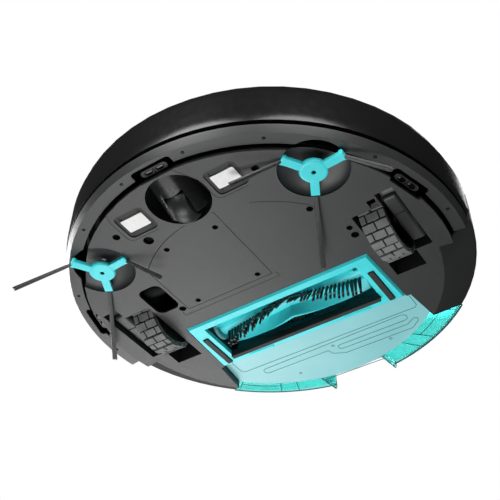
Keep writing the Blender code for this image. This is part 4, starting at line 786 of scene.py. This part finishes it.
def sensorWindows(place, degrees, reach):
    turn = math.radians(degrees)
    lenses = []
    for shift in (-sensorLens["gap"], sensorLens["gap"]):
        x = reach * math.cos(turn) - shift * math.sin(turn)
        y = reach * math.sin(turn) + shift * math.cos(turn)
        bpy.ops.mesh.primitive_uv_sphere_add(segments=24, ring_count=12, radius=0.5,
                                             location=(x, y, sensorLens["z"]), rotation=(0, 0, turn))
        lens = bpy.context.active_object
        lens.scale = (sensorLens["width"], sensorLens["length"], sensorLens["depth"])
        lenses.append(applyPlace(lens))
    x, y = reach * math.cos(turn), reach * math.sin(turn)
    bar = addBox(sensorLens["bar"], (x, y, sensorLens["z"]), (0, 0, turn))
    lenses.append(bevelEdges(bar, sensorLens["barEdge"], 1))
    finishPiece(joinPieces(lenses), "sensorWindows" + place.capitalize(), "chassis_body", sensorAcrylic)


for place, (degrees, reach) in sensorSpots.items():
    sensorWindows(place, degrees, reach)
print("sensor windows made")


# Brush chamber liner and guard latches.
liner = {"front": -0.0024, "rear": -0.0596, "half": 0.0725, "low": 0.0152, "high": 0.0530, "thick": 0.0006}


def chamberLiner():
    middleX = (liner["front"] + liner["rear"]) / 2
    middleZ = (liner["low"] + liner["high"]) / 2
    size = (liner["front"] - liner["rear"], liner["half"] * 2, liner["high"] - liner["low"])
    shell = addBox(size, (middleX, 0, middleZ))
    pickFaces(shell, lambda face: face.normal.z < -0.5 or abs(face.normal.y) > 0.5)
    bpy.ops.mesh.delete(type="FACE")
    bpy.ops.object.mode_set(mode="OBJECT")
    wall = shell.modifiers.new("Thickness", "SOLIDIFY")
    wall.thickness = liner["thick"]
    applyModifiers(shell)
    finishPiece(shell, "chamberLiner", "chassis_body", turquoiseAbs)


guardLatch = {"x": -0.0585, "y": (-0.0465, 0.0465), "length": 0.0240, "width": 0.0032, "z": 0.0104,
              "height": 0.0012, "step": 0.0005, "stepDepth": -0.0001, "edge": 0.0002}


def guardLatches():
    tabs = []
    for y in guardLatch["y"]:
        size = (guardLatch["width"], guardLatch["length"], guardLatch["height"])
        tab = addBox(size, (guardLatch["x"], y, guardLatch["z"]))
        bpy.ops.object.mode_set(mode="EDIT")
        bpy.ops.mesh.select_all(action="SELECT")
        bpy.ops.mesh.inset(thickness=guardLatch["step"], depth=guardLatch["stepDepth"])
        bpy.ops.object.mode_set(mode="OBJECT")
        tabs.append(bevelEdges(tab, guardLatch["edge"], 1))
    finishPiece(joinPieces(tabs), "guardLatches", "brush_guard", turquoiseAbs)


chamberLiner()
guardLatches()
print("guard details made")


# Floor, light and camera.
# The floor is clear from beneath, so that the underside can be seen through it.
studioFloor = {"size": 8, "z": -0.0002, "tone": "#F4F4F3", "roughness": 0.6}


def paleFloor():
    bpy.ops.mesh.primitive_plane_add(size=studioFloor["size"], location=(0, 0, studioFloor["z"]))
    floor = bpy.context.active_object
    floor.name = "floor"
    material = bpy.data.materials.new("paleStudioFloor")
    material.use_nodes = True
    tree = material.node_tree
    shader = tree.nodes["Principled BSDF"]
    shader.inputs["Base Color"].default_value = linearColour(studioFloor["tone"])
    shader.inputs["Roughness"].default_value = studioFloor["roughness"]
    clear = addNode(tree, "ShaderNodeBsdfTransparent")
    side = addNode(tree, "ShaderNodeNewGeometry")
    faces = {0: side.outputs["Backfacing"], 1: shader.outputs["BSDF"], 2: clear.outputs["BSDF"]}
    blend = addNode(tree, "ShaderNodeMixShader", links=faces)
    tree.links.new(blend.outputs["Shader"], tree.nodes["Material Output"].inputs["Surface"])
    floor.data.materials.append(material)
    floor.visible_shadow = False
    floor.visible_diffuse = False
    floor.visible_glossy = False
    floor.visible_transmission = False


# The camera sees a white backdrop, and the pieces get only a faint fill from it.
worldLight = {"seen": 1.0, "fill": 0.02}


def softWorld():
    world = bpy.data.worlds.new("softStudio")
    bpy.context.scene.world = world
    world.use_nodes = True
    tree = world.node_tree
    tree.nodes.clear()
    seen = addNode(tree, "ShaderNodeBackground", {"Color": (1, 1, 1, 1), "Strength": worldLight["seen"]})
    fill = addNode(tree, "ShaderNodeBackground", {"Color": (1, 1, 1, 1), "Strength": worldLight["fill"]})
    ray = addNode(tree, "ShaderNodeLightPath")
    direct = addNode(tree, "ShaderNodeMath", {"operation": "MAXIMUM"},
                     {0: ray.outputs["Is Camera Ray"], 1: ray.outputs["Is Transmission Ray"]})
    backdrops = {0: direct.outputs[0], 1: fill.outputs[0], 2: seen.outputs[0]}
    blend = addNode(tree, "ShaderNodeMixShader", links=backdrops)
    addNode(tree, "ShaderNodeOutputWorld", links={"Surface": blend.outputs[0]})


lightRing = {"distance": 0.8, "size": 0.5, "aim": (0.0, 0.0, 0.03)}
# Each soft light: its bearing round the machine, its height in degrees, and its power.
softLights = {
    "keyRight": (270, 12, 5.6), "frontLow": (0, 12, 4.5), "frontLeft": (45, 12, 3.4),
    "rearHigh": (180, 50, 2.6),
    "under": (0, -90, 2.8), "underRear": (225, -30, 2.3), "underRight": (270, -65, 2.1)}


def addLights():
    for name, (bearing, height, power) in softLights.items():
        turn, rise = math.radians(bearing), math.radians(height)
        level = math.cos(rise)
        outward = Vector((math.cos(turn) * level, math.sin(turn) * level, math.sin(rise)))
        place = Vector(lightRing["aim"]) + outward * lightRing["distance"]
        bpy.ops.object.light_add(type="AREA", location=place)
        light = bpy.context.active_object
        light.name = name
        light.data.shape = "DISK"
        light.data.size = lightRing["size"]
        light.data.energy = power
        light.rotation_euler = (-outward).to_track_quat("-Z", "Y").to_euler()


studioCamera = {"place": (0.44620, 0.28355, -0.43778), "azimuth": 124.293, "elevation": -43.210,
                "roll": 0.805, "lens": 62.317, "sensor": 36, "nearest": 0.01}


def addCamera():
    azimuth = math.radians(studioCamera["azimuth"])
    elevation = math.radians(studioCamera["elevation"])
    roll = math.radians(studioCamera["roll"])
    level = math.cos(elevation)
    back = Vector((math.sin(azimuth) * level, -math.cos(azimuth) * level, math.sin(elevation)))
    right = (-back).cross(Vector((0, 0, 1))).normalized()
    up = right.cross(-back)
    rolledRight = right * math.cos(roll) + up * math.sin(roll)
    rolledUp = up * math.cos(roll) - right * math.sin(roll)
    turn = Matrix((rolledRight, rolledUp, back)).transposed()
    bpy.ops.object.camera_add(location=studioCamera["place"], rotation=turn.to_euler())
    camera = bpy.context.active_object
    camera.data.sensor_width = studioCamera["sensor"]
    camera.data.lens = studioCamera["lens"]
    camera.data.clip_start = studioCamera["nearest"]
    bpy.context.scene.camera = camera


paleFloor()
softWorld()
addLights()
addCamera()
bpy.context.scene.view_settings.view_transform = "Standard"
print("floor, light and camera set")
